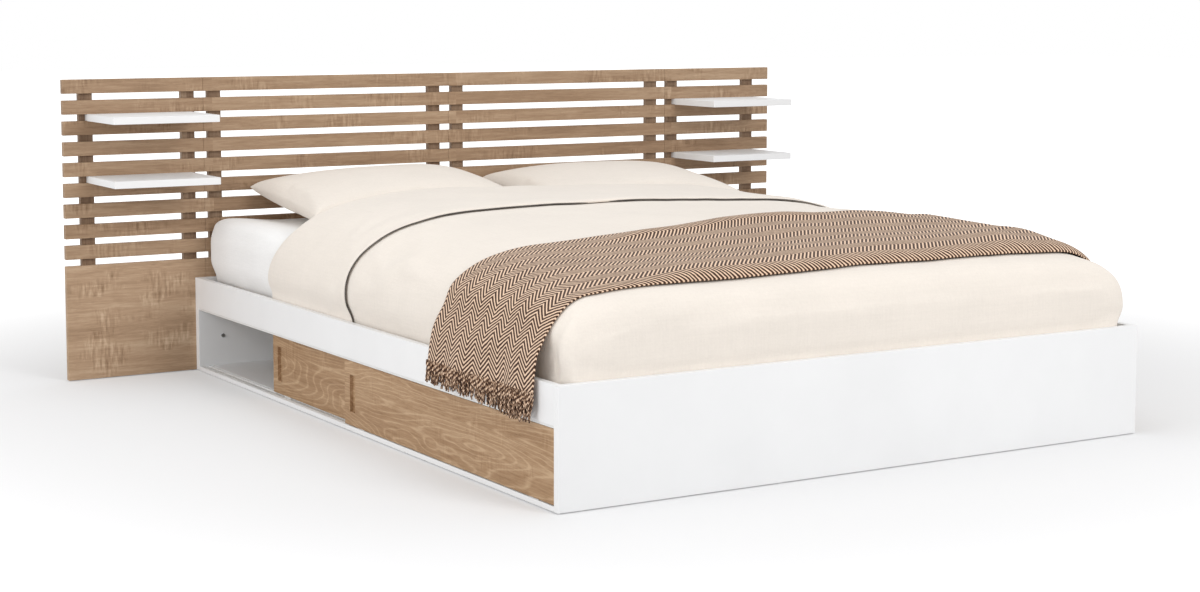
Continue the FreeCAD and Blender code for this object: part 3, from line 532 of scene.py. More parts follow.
def herringbone(name):
    """Wool herringbone: columns of slanted ribs in dark and pale yarn that turn at each column's edge."""
    shade = Shader(name, {"Specular IOR Level": 0.15, "Sheen Weight": 0.12, "Sheen Roughness": 0.6})
    across, along = weave_place(shade)
    place = shade.vector(across, along, 0.0)
    wander = shade.noise(place, 30.0, 2.0)
    turn = shade.math("PINGPONG", shade.swayed(across, wander, RIB_WANDER), COLUMN)
    phase = shade.math("MULTIPLY_ADD", turn, RIB_SLOPE, shade.swayed(along, wander, RIB_WANDER))
    rib = shade.spread(shade.math("SINE", shade.math("MULTIPLY", phase, 2 * math.pi / RIB)), -1.0, 1.0)
    yarn = shade.noise(place, 240.0, 3.0, 0.65)
    fluff = shade.noise(place, 900.0, 2.0)
    cloud = shade.noise(place, 9.0, 2.0)
    mixed = shade.swayed(shade.swayed(rib, yarn, 0.45), cloud, 0.2)
    colour = shade.ramp(mixed, zip((0.40, 0.52, 0.62, 0.76), YARN_TONES))
    height = shade.math("MULTIPLY_ADD", fluff, 0.25, shade.math("MULTIPLY_ADD", yarn, 0.3, rib))
    rough = shade.spread(mixed, 0.2, 0.9, 0.95, 0.85)
    return shade.result(Base_Color=colour, Roughness=rough, Normal=shade.bump(height, 0.0012))


def twisted_yarn(name):
    """The fringe: dark and pale yarn, twisted and knotted, so that it looks speckled."""
    shade = Shader(name, {"Specular IOR Level": 0.15, "Sheen Weight": 0.12, "Sheen Roughness": 0.6})
    around, along = weave_place(shade)
    turn = shade.math("MULTIPLY_ADD", along, 110.0, around)
    ply = shade.spread(shade.math("SINE", shade.math("MULTIPLY", turn, 2 * math.pi)), -1.0, 1.0)
    whole, *_ = shade.place()
    fluff = shade.noise(whole, 500.0, 3.0, 0.6)
    strand = shade.noise(whole, 115.0, 2.0)
    mixed = shade.swayed(shade.math("MULTIPLY", ply, 0.7), fluff, 0.6)
    mixed = shade.swayed(mixed, strand, 1.9)
    colour = shade.ramp(mixed, zip((0.14, 0.34, 0.52, 0.74), YARN_TONES))
    height = shade.math("MULTIPLY_ADD", fluff, 0.5, ply)
    rough = shade.spread(mixed, 0.2, 0.9, 0.95, 0.85)
    return shade.result(Base_Color=colour, Roughness=rough, Normal=shade.bump(height, 0.0008))


def painted_crevice_shadow(name):
    """Painted shade: the dark colour of a woven tube that stands in for the crevice shadow under the
    turned-down flap's edge.
    """
    shade = Shader(name, {"Specular IOR Level": 0.15, "Sheen Weight": 0.15})
    whole, *_ = shade.place()
    weave = shade.noise(shade.stretched(whole, (420.0, 420.0, 420.0)), 1.0, 3.0, 0.6)
    blotches = shade.noise(whole, 24.0, 3.0)
    mixed = shade.swayed(weave, blotches, 0.8)
    # The ramp's near-black greys are painted shade, the crevice shadow under the flap's edge
    colour = shade.ramp(mixed, ((0.25, (0.06, 0.053, 0.047)), (0.75, (0.14, 0.125, 0.11))))
    rough = shade.spread(mixed, 0.2, 0.8, 0.95, 0.8)
    return shade.result(Base_Color=colour, Roughness=rough, Normal=shade.bump(weave, 0.0006))


# Boards' own cells: the start and size of a cell along each axis
SLAT_PITCH = (SLATS_HIGH.z - PANEL_TOP) / 9
MODULE = SLATS_HIGH.x - SLATS_LOW.x
SLAT_CELLS = ((SLATS_HIGH.x, MODULE), (0.0, 9.0), (PANEL_TOP, SLAT_PITCH))
PANEL_CELLS = ((SLATS_HIGH.x, MODULE), (0.0, 9.0), (0.0, 9.0))
DOOR_CELLS = ((0.011, 0.021), (0.0, 30.0), (0.0, 9.0))
POST_CELLS = ((0.0, 0.07), (0.0, 9.0), (0.0, 9.0))
OAK_TONES = ((0.288, 0.180, 0.105), (0.452, 0.304, 0.193), (0.618, 0.454, 0.312))
SLAT_TONES = ((0.210, 0.126, 0.070), (0.346, 0.224, 0.136), (0.490, 0.347, 0.228))
TIMBER_TONES = ((0.40, 0.25, 0.12), (0.60, 0.43, 0.25), (0.72, 0.56, 0.36))
POST_TONES = ((0.155, 0.092, 0.056), (0.275, 0.178, 0.112), (0.390, 0.275, 0.185))
DOOR_TONES = ((0.210, 0.114, 0.052), (0.360, 0.217, 0.114), (0.540, 0.368, 0.222))
CREAM = (0.846, 0.780, 0.706)
COTTON = (0.940, 0.934, 0.925)
BOARD = (0.880, 0.882, 0.886)
YARN_TONES = ((0.052, 0.021, 0.010), (0.160, 0.076, 0.040), (0.460, 0.288, 0.176), (0.880, 0.645, 0.470))

FINISHES = {
    "oak_slat": oak("oak_slat", 0, SLAT_TONES, SLAT_CELLS, 9.0, 0.06, 1.2),
    "oak_panel": oak("oak_panel", 0, OAK_TONES, PANEL_CELLS, 12.0, 0.05, 1.5),
    "oak_post": oak("oak_post", 2, POST_TONES, POST_CELLS, 8.0, 0.05, 0.5),
    "oak_door": oak("oak_door", 1, DOOR_TONES, DOOR_CELLS, 30.0, 0.22, 0.5),
    "white_board": board_white("white_board", BOARD),
    "plain_timber": timber("plain_timber"),
    "white_plastic": plastic("white_plastic"),
    "zinc_steel": zinc("zinc_steel"),
    "white_cotton": cloth("white_cotton", COTTON, 260.0, 1500.0),
    "cream_linen": cloth("cream_linen", CREAM, 200.0, 1200.0),
    "woven_throw": herringbone("woven_throw"),
}
FRINGE_YARN = twisted_yarn("fringe_yarn")
# A dark material for the painted crevice shadow under the flap's edge
CREVICE_SHADOW_PAINT = painted_crevice_shadow("flap_painted_crevice_shadow")

for part in frame["record"]["subparts"]:
    for holder in frame["nodes"][part["node"]].material_slots:
        holder.material = FINISHES[part["material_slot"]]


# The duvet: a section across the bed, from one hem over the crest to the other

def crest(y):
    """The height of the duvet's top at a place along the bed."""
    to_flap = np.clip((FLAP_EDGE - y) / (FLAP_EDGE - DUVET_FOOT), 0, 1)
    return MATTRESS_TOP + CREST_FOOT + (1 - to_flap ** CREST_POWER) * (CREST_HEAD - CREST_FOOT)


def joined_parts(side, top):
    """Half a section at equal steps: from the hem up to the corner, then on to the crest."""
    return np.vstack([resampled(side, SIDE_STEPS), resampled(top, TOP_STEPS // 2)[1:]])


def duvet_half(half, top, square, round_, hem_half):
    """Half of the outer section, with a bulge above the rail and a rounded shoulder."""
    low = np.linspace(DUVET_HEM, WAIST, 24)
    lower = np.column_stack([hem_half + (half - hem_half) * smooth_step(RAIL_TOP - 0.004, WAIST, low), low])
    rise = top - WAIST
    corner = 1 - 0.36 / square
    up = np.linspace(0, (1 - corner ** square) ** (1 / round_), 40)[1:]
    side = np.column_stack([half * (1 - up ** round_) ** (1 / square), WAIST + rise * up])
    over = np.linspace(corner, 0, 60)
    crown = np.column_stack([half * over, WAIST + rise * (1 - over ** square) ** (1 / round_)])
    return joined_parts(np.vstack([lower, side]), crown)


def plain_half(half, top, radius):
    """Half of a section that follows the mattress."""
    turn = np.linspace(0, math.pi / 2, 20)
    arc = np.column_stack([half - radius + radius * np.cos(turn), top - radius + radius * np.sin(turn)])
    return joined_parts(np.vstack([[[half, DUVET_HEM]], arc[:10]]), np.vstack([arc[9:], [[0, top]]]))


def both_halves(left, right):
    """A whole section from its left hem to its right one."""
    return np.vstack([left * (-1, 1), right[-2::-1]])


def padded_out(line):
    """A section whose shoulders are kept outside the inner layer by at least the padding."""
    away = np.column_stack([np.abs(line[:, 0]) - INNER_HALF, line[:, 1] - INNER_TOP]) + INNER_ROUND
    length = np.linalg.norm(away, axis=1, keepdims=True)
    short = INNER_ROUND + PADDING - length
    shoulder = ((away > 0).all(axis=1) & (short[:, 0] > 0))[:, None]
    return line + np.where(shoulder, away / length * short * np.sign(line[:, :1]) ** (1, 0), 0)


def duvet_section(y, grow=0.0, top_cut=0.0, side_cut=0.0):
    """The outer section at a place along the bed, grown on all sides, and cut back at a rounded end."""
    at = [np.interp(y, SECTION_Y, values) for values in
          (SECTION_HALF_LEFT, SECTION_HALF_RIGHT, SECTION_SQUARE_LEFT, SECTION_SQUARE_RIGHT,
           SECTION_ROUND, SECTION_TILT)]
    half_left, half_right, left, right, round_, tilt = at
    top = float(crest(y)) + grow
    hem_half = HEM_HALF + min(grow, HEM_GROWTH)
    halves = [duvet_half(half + grow, top, square, round_, hem_half)
              for half, square in ((half_left, left), (half_right, right))]
    line = both_halves(*halves)
    above = smooth_step(RAIL_TOP, top, line[:, 1])
    line[:, 1] -= above * (top_cut + tilt * np.clip(line[:, 0] - TILT_FROM, 0, TILT_REACH))
    line[:, 0] -= np.sign(line[:, 0]) * side_cut * smooth_step(0.4, 0.8, np.abs(line[:, 0]))
    return padded_out(line) if top_cut == 0 else line


def inner_section():
    """The section of the layer on the mattress."""
    line = plain_half(INNER_HALF, INNER_TOP, INNER_ROUND)
    return both_halves(line, line)


def rows_of(sections, ys):
    """Points of a strip of sections, row after row."""
    return np.vstack([np.column_stack([line[:, 0], np.full(len(line), y), line[:, 1]])
                      for line, y in zip(sections, ys)])


def strip_quads(rows, columns):
    """The faces between the points of a strip."""
    return [[r * columns + c, r * columns + c + 1, (r + 1) * columns + c + 1, (r + 1) * columns + c]
            for r in range(rows - 1) for c in range(columns - 1)]


def undulation(points):
    """Gentle hollows and rises that the duvet and its flap share, and finer ones over them."""
    broad = waves(points, 2.3, 1) * 0.007
    middle = waves(points, 6.0, 2) * 0.0035
    fine = waves(points * np.array([1.0, 1.6, 1.0]), 15.0, 3) * 0.0012
    return broad + middle + fine


def puffed(points, faces, amount):
    """Points moved along their normals by the undulation, less near the hem."""
    probe = mesh_object("probe", points, faces)
    normals = np.array([v.normal for v in probe.data.vertices])
    bpy.data.objects.remove(probe)
    centre = np.array([0.0, points[:, 1].mean(), WAIST - 0.05])
    normals *= np.sign(((points - centre) * normals).sum(1).mean())
    share = smooth_step(RAIL_TOP, WAIST + 0.05, points[:, 2])
    return points + normals * (undulation(points) * share * amount)[:, None]


def creased(points):
    """The tucked corners at the foot: an upright crease in each side, just behind the foot face."""
    side = smooth_step(*CREASE_SIDE, np.abs(points[:, 0]))
    side = side * smooth_step(RAIL_TOP - 0.01, RAIL_TOP + 0.01, points[:, 2])
    side *= smooth_step(CREASE_TOP, CREASE_TOP - CREASE_FADE, points[:, 2])
    behind = points[:, 1] - (DUVET_FOOT + CREASE_SETBACK)
    depth = CREASE_DEPTH * bell(behind, 0.0, np.where(behind < 0, CREASE_FRONT, CREASE_BACK))
    moved = points.copy()
    moved[:, 0] -= np.sign(points[:, 0]) * side * depth
    return moved


def rounded_end(ys, end, radius):
    """Rows along the bed with a rounded end added, and how far each is turned over it, from 0 to 1. The
    radius points from the end into the strip."""
    turns = np.linspace(0, math.pi / 2, 8)[1:]
    return (list(ys) + [end + radius * (1 - math.sin(turn)) for turn in turns],
            [0.0] * len(ys) + [1 - math.cos(turn) for turn in turns])


COLUMNS = 2 * SIDE_STEPS + TOP_STEPS + 1

# The body of the duvet: a strip from under the flap to the foot, then the upright face at the foot
body_ys = np.linspace(BODY_END, DUVET_FOOT + FOOT_ROUND, int((BODY_END - DUVET_FOOT) / ROW_STEP))
body_ys, cuts = rounded_end(body_ys, DUVET_FOOT, FOOT_ROUND)
swells = -SWELL * smooth_step(FLAP_EDGE - 0.02, FLAP_EDGE - 0.15, body_ys)
sections = [duvet_section(y, grow, FOOT_ROUND * cut, FOOT_SIDE_ROUND * cut)
            for y, grow, cut in zip(body_ys, swells, cuts)]
outer = rows_of(sections, body_ys)
inner_line = inner_section()
inner_ys = [max(y, INNER_FOOT + INNER_FOOT_ROUND * (1 - cut)) for y, cut in zip(body_ys, cuts)]
inner_lines = []
for cut in cuts:
    line = inner_line.copy()
    line[:, 1] -= INNER_FOOT_DROP * cut * smooth_step(RAIL_TOP, MATTRESS_TOP, line[:, 1])
    inner_lines.append(line)
inner = rows_of(inner_lines, inner_ys)
body_quads = strip_quads(len(body_ys), COLUMNS)
last_row = (len(body_ys) - 1) * COLUMNS


def foot_face(points, y):
    """The inside points of the foot face, between the strip's last row on three sides and the hem."""
    row = points[last_row:last_row + COLUMNS]
    left, right = row[:SIDE_STEPS + 1], row[::-1][:SIDE_STEPS + 1]
    top = row[SIDE_STEPS:SIDE_STEPS + TOP_STEPS + 1]
    added = []
    for j in range(SIDE_STEPS):
        for i in range(1, TOP_STEPS):
            share = (top[i, 0] - top[0, 0]) / (top[-1, 0] - top[0, 0])
            height = (left[j, 2] - DUVET_HEM) / (left[-1, 2] - DUVET_HEM)
            x = left[j, 0] + share * (right[j, 0] - left[j, 0])
            added.append((x, y, DUVET_HEM + height * (top[i, 2] - DUVET_HEM)))
    return np.array(added)


def foot_index(i, j):
    """The index of the foot face's point i across and j up. Those on its rim are the strip's."""
    if i == 0:
        return last_row + j
    if i == TOP_STEPS:
        return last_row + COLUMNS - 1 - j
    if j == SIDE_STEPS:
        return last_row + SIDE_STEPS + i
    return last_row + COLUMNS + j * (TOP_STEPS - 1) + i - 1


outer = np.vstack([outer, foot_face(outer, DUVET_FOOT)])
inner = np.vstack([inner, foot_face(inner, INNER_FOOT)])
for j in range(SIDE_STEPS):
    for i in range(TOP_STEPS):
        corners = ((i, j), (i + 1, j), (i + 1, j + 1), (i, j + 1))
        body_quads.append([foot_index(*corner) for corner in corners])
outer = puffed(outer, body_quads, 1.0)
held = (outer[:, 2] < HELD_BELOW) | (outer[:, 1] > FLAP_EDGE - 0.03)
outer = settled(outer, body_quads, held, pressure=0.8, slack=0.010, cap=0.0055)
outer = creased(relaxed(outer, body_quads, (~held).astype(float), 2, 0.4))
inside = outer[:, 2] < TUCKED_BELOW
outer[inside, 0] = np.clip(outer[inside, 0], -HEM_HALF, HEM_HALF)
outer[inside, 1] = np.maximum(outer[inside, 1], DUVET_FOOT)
duvet = closed_shell("duvet_body", outer, inner, body_quads)
subdivided(duvet)
body_tree = BVHTree.FromObject(duvet, bpy.context.evaluated_depsgraph_get())

# The flap: a second strip over the body's head end, rounded over at the head
flap_ys = np.linspace(FLAP_EDGE, DUVET_HEAD - HEAD_ROUND, int((FLAP_LENGTH - HEAD_ROUND) / ROW_STEP))
flap_ys, cuts = rounded_end(flap_ys, DUVET_HEAD, -HEAD_ROUND)
flap_outer = rows_of([duvet_section(y, FLAP_LIFT + FLAP_THICKNESS, HEAD_ROUND * cut, FLAP_SIDE_ROUND * cut)
                      for y, cut in zip(flap_ys, cuts)], flap_ys)
flap_quads = strip_quads(len(flap_ys), COLUMNS)
flap_outer = puffed(flap_outer, flap_quads, 1.0)
over_body = np.array([y < BODY_END + 0.012 for y in flap_ys])
under_flap = [duvet_section(y, FLAP_LIFT) if on else inner_line for y, on in zip(flap_ys, over_body)]
flap_inner = rows_of(under_flap, [min(y, DUVET_HEAD - 0.004) for y in flap_ys])
on_body = np.repeat(over_body, COLUMNS)
flap_inner[on_body] = puffed(flap_inner, flap_quads, 1.0)[on_body]
near_edge = flap_outer[:, 1] < FLAP_EDGE + 0.004
held = (flap_outer[:, 2] < HELD_BELOW) | near_edge
flap_outer = settled(flap_outer, flap_quads, held, pressure=0.8, slack=0.010, cap=0.004)
inside = flap_outer[:, 2] < TUCKED_BELOW
flap_outer[inside, 0] = np.clip(flap_outer[inside, 0], -FLAP_HEM_HALF, FLAP_HEM_HALF)
flap = closed_shell("duvet_flap", flap_outer, flap_inner, flap_quads)


def tube(points, radii, sides=10):
    """Points and faces of a tube along a line, closed at both ends."""
    places, faces = [], []
    for k, (centre, radius) in enumerate(zip(points, radii)):
        ahead = Vector(points[min(k + 1, len(points) - 1)]) - Vector(points[max(k - 1, 0)])
        side = ahead.orthogonal().normalized() if k == 0 else side - side.project(ahead)
        side.normalize()
        other = ahead.cross(side).normalized()
        for s in range(sides):
            angle = 2 * math.pi * s / sides
            places.append(Vector(centre) + radius * (math.cos(angle) * side + math.sin(angle) * other))
    for k in range(len(points) - 1):
        for s in range(sides):
            here, after = k * sides + s, k * sides + (s + 1) % sides
            faces.append([here, after, after + sides, here + sides])
    faces.append(list(range(sides))[::-1])
    faces.append([(len(points) - 1) * sides + s for s in range(sides)])
    return places, faces


# The painted shade along the flap: a dark tube in the crevice under its edge
edge_line = (flap_outer[:COLUMNS] + flap_inner[:COLUMNS]) / 2
sunk = smooth_step(SUNK_REACH, 0.0, np.abs(edge_line[:, 0] - SUNK_AT)) * (edge_line[:, 2] > WAIST)
edge_line[:, 1] -= 0.001 - SUNK_DEPTH * sunk
edge_line[:, 2] -= 0.001
places, faces = tube(resampled(edge_line, SHADOW_TUBE_STEPS), [SHADOW_TUBE_RADIUS] * (SHADOW_TUBE_STEPS + 1))
painted_shadow_tube = outward(mesh_object("duvet_painted_shadow_tube", places, faces))

finished(duvet, "cream_linen", "duvet")
finished(subdivided(flap), "cream_linen")
finished(painted_shadow_tube, "cream_linen", material=CREVICE_SHADOW_PAINT)


# The mattress in its fitted sheet, and the pillows

def box_faces(counts):
    """Quads over all sides of a lattice box, and each corner's place from 0 to 1 along each axis."""
    index, places, quads = {}, [], []

    def corner(cell):
        if cell not in index:
            index[cell] = len(places)
            places.append([c / n for c, n in zip(cell, counts)])
        return index[cell]

    for axis in range(3):
        a, b = ((1, 2), (2, 0), (0, 1))[axis]
        for end in (0, 1):
            for i in range(counts[a]):
                for j in range(counts[b]):
                    quad = []
                    for di, dj in ((0, 0), (1, 0), (1, 1), (0, 1)):
                        cell = [0, 0, 0]
                        cell[axis] = counts[axis] * end
                        cell[a], cell[b] = i + di, j + dj
                        quad.append(corner(tuple(cell)))
                    quads.append(quad if end else quad[::-1])
    return np.array(places), quads


def rounded(points, low, high, radii):
    """Points of a box pulled in onto rounded edges and corners."""
    core = np.clip(points, low + radii, high - radii)
    away = (points - core) / radii
    length = np.maximum(np.linalg.norm(away, axis=1, keepdims=True), 1e-9)
    return core + away / length * radii


lattice, mattress_quads = box_faces((80, 100, 14))
low, high = np.array(MATTRESS_LOW), np.array(MATTRESS_HIGH)
points = low + lattice * (high - low)
pressed = smooth_step(DUVET_HEAD - 0.02, DUVET_HEAD - 0.2, points[:, 1])
edge_round = SHEET_ROUND + (PRESSED_ROUND - SHEET_ROUND) * pressed
end_round = np.full(len(points), SHEET_END_ROUND)
points = rounded(points, low, high, np.column_stack([edge_round, end_round, edge_round]))
side = smooth_step(0.6, 0.79, np.abs(points[:, 0])) * smooth_step(0.25, 0.3, points[:, 2])
folds = waves(points * np.array([1.0, 1.0, 0.22]), 11.0, 8) * 0.003
points[:, 0] += np.sign(points[:, 0]) * side * (folds - 0.002)
points[:, 2] -= 0.0015 * (1 + waves(points, 4.0, 9)) * (lattice[:, 2] > 0.5)
bare = smooth_step(DUVET_HEAD - 0.01, DUVET_HEAD + 0.12, points[:, 1])
bare *= smooth_step(RAIL_TOP + 0.002, RAIL_TOP + 0.05, points[:, 2])
beside = smooth_step(0.60, 0.74, np.abs(points[:, 0]))
points[:, 0] += np.sign(points[:, 0]) * bare * beside * SHEET_BULGE
points[:, 1] += bare * smooth_step(MATTRESS_HIGH.y - 0.08, MATTRESS_HIGH.y, points[:, 1]) * HEAD_BULGE
points[:, 2] += bare * beside * smooth_step(0.85, 1.0, lattice[:, 2]) * SHEET_BULGE
mattress = outward(mesh_object("mattress_sheet", points, mattress_quads))
finished(subdivided(mattress), "white_cotton", "mattress")


def pillow(node, seed, height, lean):
    """A stuffed pillow: crowned on both sides, with sides drawn in between pointed corners. A lean
    above 0 makes its right half the fuller one."""
    low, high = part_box(node)
    width, depth = high.x - low.x, (high.y - low.y) / math.cos(PILLOW_TILT) - 0.004
    lattice, quads = box_faces((60, 40, 1))
    u, v = 2 * lattice[:, 0] - 1, 2 * lattice[:, 1] - 1
    plump = (1 - np.abs(u) ** 2.4) ** 0.56 * (1 - np.abs(v) ** 2.3) ** 0.52
    plump *= 1 + 0.07 * waves(np.column_stack([u * 1.6, v * 1.3, u * 0]), 1.0, seed) + lean * u
    half = height / 2 * plump + 0.0025
    x = width / 2 * u * (1 - PILLOW_EAR * (1 - v ** 2))
    y = depth / 2 * v * (1 - PILLOW_EAR * (1 - u ** 2))
    points = np.column_stack([x, y, (2 * lattice[:, 2] - 1) * half])
    edge = (np.abs(u) > 0.999) | (np.abs(v) > 0.999)
    corners = edge & (np.abs(u * v) > 0.98)
    points = settled(points, quads, corners, pressure=3.0, slack=0.02, cap=0.010)
    tilt = np.array(Matrix.Rotation(PILLOW_TILT, 3, "X"))
    points = points @ tilt.T
    points[:, 0] += (low.x + high.x) / 2
    points[:, 1] += high.y - points[:, 1].max()
    points[:, 2] += MATTRESS_TOP - PILLOW_SINK - points[:, 2].min()
    floor = MATTRESS_TOP + 0.001
    under = points[:, 2] < floor + PILLOW_PRESS
    depth = (points[under, 2] - floor - PILLOW_PRESS) / PILLOW_PRESS
    points[under, 2] = floor + PILLOW_PRESS * np.exp(depth)
    piece = outward(mesh_object(node + "_case", points, quads))
    finished(subdivided(piece), "cream_linen", node)


pillow("left_pillow", 21, 0.134, 0.12)
pillow("right_pillow", 34, 0.116, 0.0)


# The throw: a woven strip over the duvet, hanging outside the rails
THROW_ROWS = 46
THROW_COLUMNS = 196


def throw_line(part):
    """The line across the bed that one thread of the throw follows, with its place along the bed."""
    share = np.linspace(0, 1, THROW_COLUMNS + 1)
    front = THROW_FRONT[0] + (THROW_FRONT[1] - THROW_FRONT[0]) * share
    back = THROW_BACK[0] + (THROW_BACK[1] - THROW_BACK[0]) * smooth_step(0.25, 0.68, share)
    y = front + part * (back - front)
    middle = float(y.mean())
    body = duvet_section(middle, 0.006)
    body = body[body[:, 1] > WAIST + 0.02]
    drop = np.linspace(THROW_HEM, WAIST + 0.005, 12)
    swing = 0.008 + 0.0055 * math.sin(2 * math.pi * (1.7 * part + 0.1))
    swing += 0.0025 * math.sin(2 * math.pi * (3.9 * part + 0.6))
    out = RAIL_FACE + 0.006 + swing * (1 - (drop - THROW_HEM) / (WAIST - THROW_HEM))
    left = np.column_stack([-out, drop])
    right = np.column_stack([out[::-1], drop[::-1]])
    line = resampled(np.vstack([left, body, right]), THROW_COLUMNS)
    z = line[:, 1] + (crest(y) - crest(middle)) * smooth_step(WAIST, WAIST + 0.1, line[:, 1])
    flare = THROW_FLARE * part ** 2 * smooth_step(WAIST + 0.06, THROW_HEM, line[:, 1])
    return np.column_stack([line[:, 0], y + flare, z])


def throw_relief(part, run):
    """How far the throw stands off the duvet: a soft roll along each long edge, two ripples and waves.
    Part goes from its front edge to its back one, and run from its left hem to its right one."""
    back_roll = 0.013 * bell(part, 0.88, 0.06)
    back_roll *= smooth_step(0.26, 0.36, run) * smooth_step(0.70, 0.58, run)
    front_roll = 0.015 * smooth_step(0.5, 0.15, part) * smooth_step(0.2, 0.3, run)
    front_ripple = 0.006 * bell(run, 0.775, 0.03) * smooth_step(0.5, 0.2, part)
    back_ripple = 0.018 * bell(run, 0.860, 0.024) * smooth_step(0.1, 0.4, part)
    swell = 0.0035 * (1 + waves(np.column_stack([part * 3.0, run * 11.0, run * 0]), 1.0, 41))
    rounding = np.sqrt(np.maximum(0, 1 - np.maximum(0, 1 - part / 0.10) ** 2))
    return (back_roll + front_roll + front_ripple + back_ripple + swell) * rounding


def laid_on(points, tree, gaps, share):
    """Points moved along the duvet's normals to the wanted gaps, as far as their share says. A point that
    comes nearer than its gap is always moved out."""
    _, top, _, _ = tree.ray_cast(Vector((0, -0.5, 2)), Vector((0, 0, -1)))
    outwards = math.copysign(1, top.z)
    moved = points.copy()
    for k, place in enumerate(points):
        if place[2] < WAIST - 0.02:
            continue
        near, normal, _, _ = tree.find_nearest(Vector(place))
        normal *= outwards
        short = gaps[k] - (Vector(place) - near).dot(normal)
        moved[k] += np.array(normal * (short if short > 0 else short * share[k]))
    return moved


parts = np.linspace(0, 1, THROW_ROWS + 1)
throw_points = np.vstack([throw_line(part) for part in parts])
throw_quads = strip_quads(THROW_ROWS + 1, THROW_COLUMNS + 1)
run = np.tile(np.linspace(0, 1, THROW_COLUMNS + 1), THROW_ROWS + 1)
row_part = np.repeat(parts, THROW_COLUMNS + 1)
throw_uv = np.column_stack([row_part * THROW_FLAT[0], run * THROW_FLAT[1]])
skew = 0.003 * np.sin(2 * math.pi * (run * 2.3 + 0.15)) + 0.003 * np.sin(2 * math.pi * (run * 5.1 + 0.5))
throw_points[:, 1] += skew
on_top = smooth_step(WAIST + 0.03, WAIST + 0.09, throw_points[:, 2])
gaps = THROW_HALF_THICKNESS + THROW_CLEARANCE + on_top * throw_relief(row_part, run)
place_along = throw_points[:, 1].copy()
off_hem = smooth_step(0.02, 0.06, run * (1 - run) * 4)
for _ in range(4):
    throw_points = relaxed(throw_points, throw_quads, off_hem, 2, 0.5)
    throw_points[:, 1] = place_along
    throw_points = laid_on(throw_points, body_tree, gaps, on_top)
throw = mesh_object("throw_weave", throw_points, throw_quads, throw_uv)
thick = throw.modifiers.new("thickness", "SOLIDIFY")
thick.thickness = 2 * THROW_HALF_THICKNESS
thick.offset = 0.0
subdivided(throw)


def fringe(name, hem):
    """Two layers of knotted strands along one hem, which hang lower towards the foot of the bed."""
    places, faces, uv = [], [], []
    rings, sides = STRAND_RINGS, STRAND_SIDES
    for k in range(STRANDS):
        part = (k + 0.5) / STRANDS
        base = Vector([np.interp(part, parts, hem[:, axis]) for axis in range(3)])
        sign = math.copysign(1, base.x)
        tip = FRINGE_TIP - FRINGE_DIP * float(smooth_step(0.75, 0.2, part)) + random.uniform(0.0, 0.014)
        length = base.z - tip
        sway = random.normal(0, 0.005, 2)
        layer = STRAND_LAYER * (1 if k % 2 else -1)
        knot_at = random.uniform(0.22, 0.42)
        line, radii = [], []
        for step in range(rings):
            share = step / (rings - 1)
            wiggle = 0.0018 * math.sin(share * 11 + k * 1.7)
            line.append(base + Vector((
                sign * (layer + 0.004 * share + sway[0] * share * share * 0.4),
                sway[1] * share + wiggle,
                STRAND_ROOT - (length + STRAND_ROOT) * share,
            )))
            knot = STRAND_KNOT * math.exp(-((share - knot_at) / 0.08) ** 2)
            radii.append(STRAND_RADIUS * (1 - 0.3 * share ** 3) + knot)
        ring, quads = tube(line, radii, sides)
        start = len(places)
        places += ring
        faces += [[i + start for i in quad] for quad in quads]
        uv += [(s / sides + k * 0.37, step / (rings - 1) * length)
               for step in range(rings) for s in range(sides)]
    piece = outward(mesh_object(name, places, faces, uv))
    return finished(piece, "woven_throw", material=FRINGE_YARN)


grid = throw_points.reshape(THROW_ROWS + 1, THROW_COLUMNS + 1, 3)
fringes = [fringe("throw_fringe_left", grid[:, 0]), fringe("throw_fringe_right", grid[:, -1])]
finished(throw, "woven_throw", "throw")


# The floor, the light and the camera
FLOOR_COLOUR = (0.64, 0.64, 0.645, 1)
FLOOR_HALF = 30
FLOOR_GAP = 0.0005
CAMERA_PLACE = (-3.0761, -4.8693, 1.0665)
CAMERA_YAW = 0.5377
CAMERA_PITCH = 0.1017
CAMERA_LENS = 63.95
CAMERA_SHIFT = (0.025, -0.06)


def off_surface_rays(nodes):
    """A socket that is 1 for rays from the camera, a mirror or a glass, and 0 for diffuse light."""
    path = nodes.tree.nodes.new("ShaderNodeLightPath").outputs
    total = path["Is Camera Ray"]
    for name in ("Is Glossy Ray", "Is Transmission Ray"):
        total = nodes.math("MAXIMUM", total, path[name])
    return total


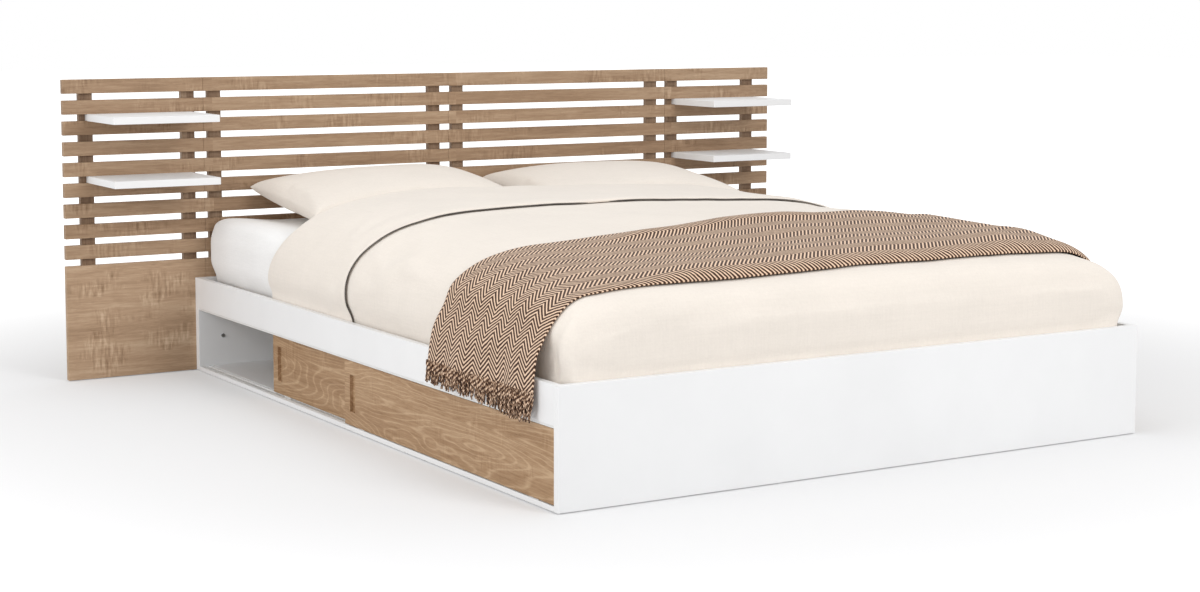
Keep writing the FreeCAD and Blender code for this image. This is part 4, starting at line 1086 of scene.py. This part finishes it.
def white_floor(reach, glow_near, glow_far):
    """A pale floor that keeps the bed's shadow. It has painted light: a glow, seen only by the camera,
    mirrors and glass, that rises from near the bed to far away, so that the floor is painted greyer near
    the bed and turns white away from it.
    """
    material = bpy.data.materials.new("pale_floor")
    material.use_nodes = True
    nodes = Nodes(material.node_tree)
    nodes.tree.nodes.clear()
    place = nodes.tree.nodes.new("ShaderNodeTexCoord")
    away = nodes.tree.nodes.new("ShaderNodeVectorMath")
    away.operation = "LENGTH"
    nodes.put(away.inputs[0], place.outputs["Object"])
    fade = nodes.spread(away.outputs["Value"], *reach, glow_near, glow_far, True)
    level = nodes.math("MULTIPLY", off_surface_rays(nodes), fade)
    matte = nodes.node("BsdfDiffuse", (FLOOR_COLOUR,))
    glow = nodes.node("Emission", ((1, 1, 1, 1), level))
    out = nodes.tree.nodes.new("ShaderNodeOutputMaterial")
    nodes.put(out.inputs[0], nodes.node("AddShader", (matte, glow)))
    mesh = bpy.data.meshes.new("floor")
    corners = [(x * FLOOR_HALF, y * FLOOR_HALF, 0) for x, y in ((-1, -1), (1, -1), (1, 1), (-1, 1))]
    mesh.from_pydata(corners, [], [(0, 1, 2, 3)])
    mesh.materials.append(material)
    floor = bpy.data.objects.new("floor", mesh)
    scene.collection.objects.link(floor)
    floor.location.z = -FLOOR_GAP


def white_world(level):
    """A world that is white to look at and lights the scene at the given level."""
    world = bpy.data.worlds.new("studio")
    scene.world = world
    world.use_nodes = True
    nodes = Nodes(world.node_tree)
    back = nodes.tree.nodes["Background"]
    back.inputs["Color"].default_value = (1, 1, 1, 1)
    nodes.put(back.inputs["Strength"], nodes.spread(off_surface_rays(nodes), 0.0, 1.0, level, 1.0))


def lamp(name, place, aim, size, power):
    light = bpy.data.lights.new(name, "AREA")
    light.shape = "DISK"
    light.size = size
    light.energy = power
    piece = bpy.data.objects.new(name, light)
    scene.collection.objects.link(piece)
    piece.location = place
    piece.rotation_mode = "QUATERNION"
    piece.rotation_quaternion = (Vector(aim) - Vector(place)).to_track_quat("-Z", "Y")


def photo_camera():
    """The photo's view, from a fit to the edges of the base."""
    yaw, pitch = CAMERA_YAW, CAMERA_PITCH
    forward = Vector((math.sin(yaw) * math.cos(pitch), math.cos(yaw) * math.cos(pitch), -math.sin(pitch)))
    right = Vector((math.cos(yaw), -math.sin(yaw), 0.0))
    up = right.cross(forward)
    data = bpy.data.cameras.new("camera")
    data.sensor_fit = "HORIZONTAL"
    data.sensor_width = 36.0
    data.lens = CAMERA_LENS
    data.shift_x, data.shift_y = CAMERA_SHIFT
    data.clip_end = 200.0
    camera = bpy.data.objects.new("camera", data)
    scene.collection.objects.link(camera)
    turn = Matrix((right, up, -forward)).transposed().to_4x4()
    camera.matrix_world = Matrix.Translation(CAMERA_PLACE) @ turn
    scene.camera = camera


# The floor's glow is painted light: low near the bed, high far from it
white_floor(reach=(1.2, 4.4), glow_near=0.22, glow_far=0.88)
white_world(0.70)
lamp("key", (1.0, -5.4, 3.2), (0.1, -0.2, 0.3), size=2.6, power=118)
lamp("fill", (-4.4, -0.9, 1.4), (-0.6, 0.1, 0.2), size=3.0, power=56)
lamp("top", (-0.4, 0.4, 4.2), (0.0, 0.0, 0.3), size=3.4, power=23)
photo_camera()
scene.view_settings.view_transform = "Standard"
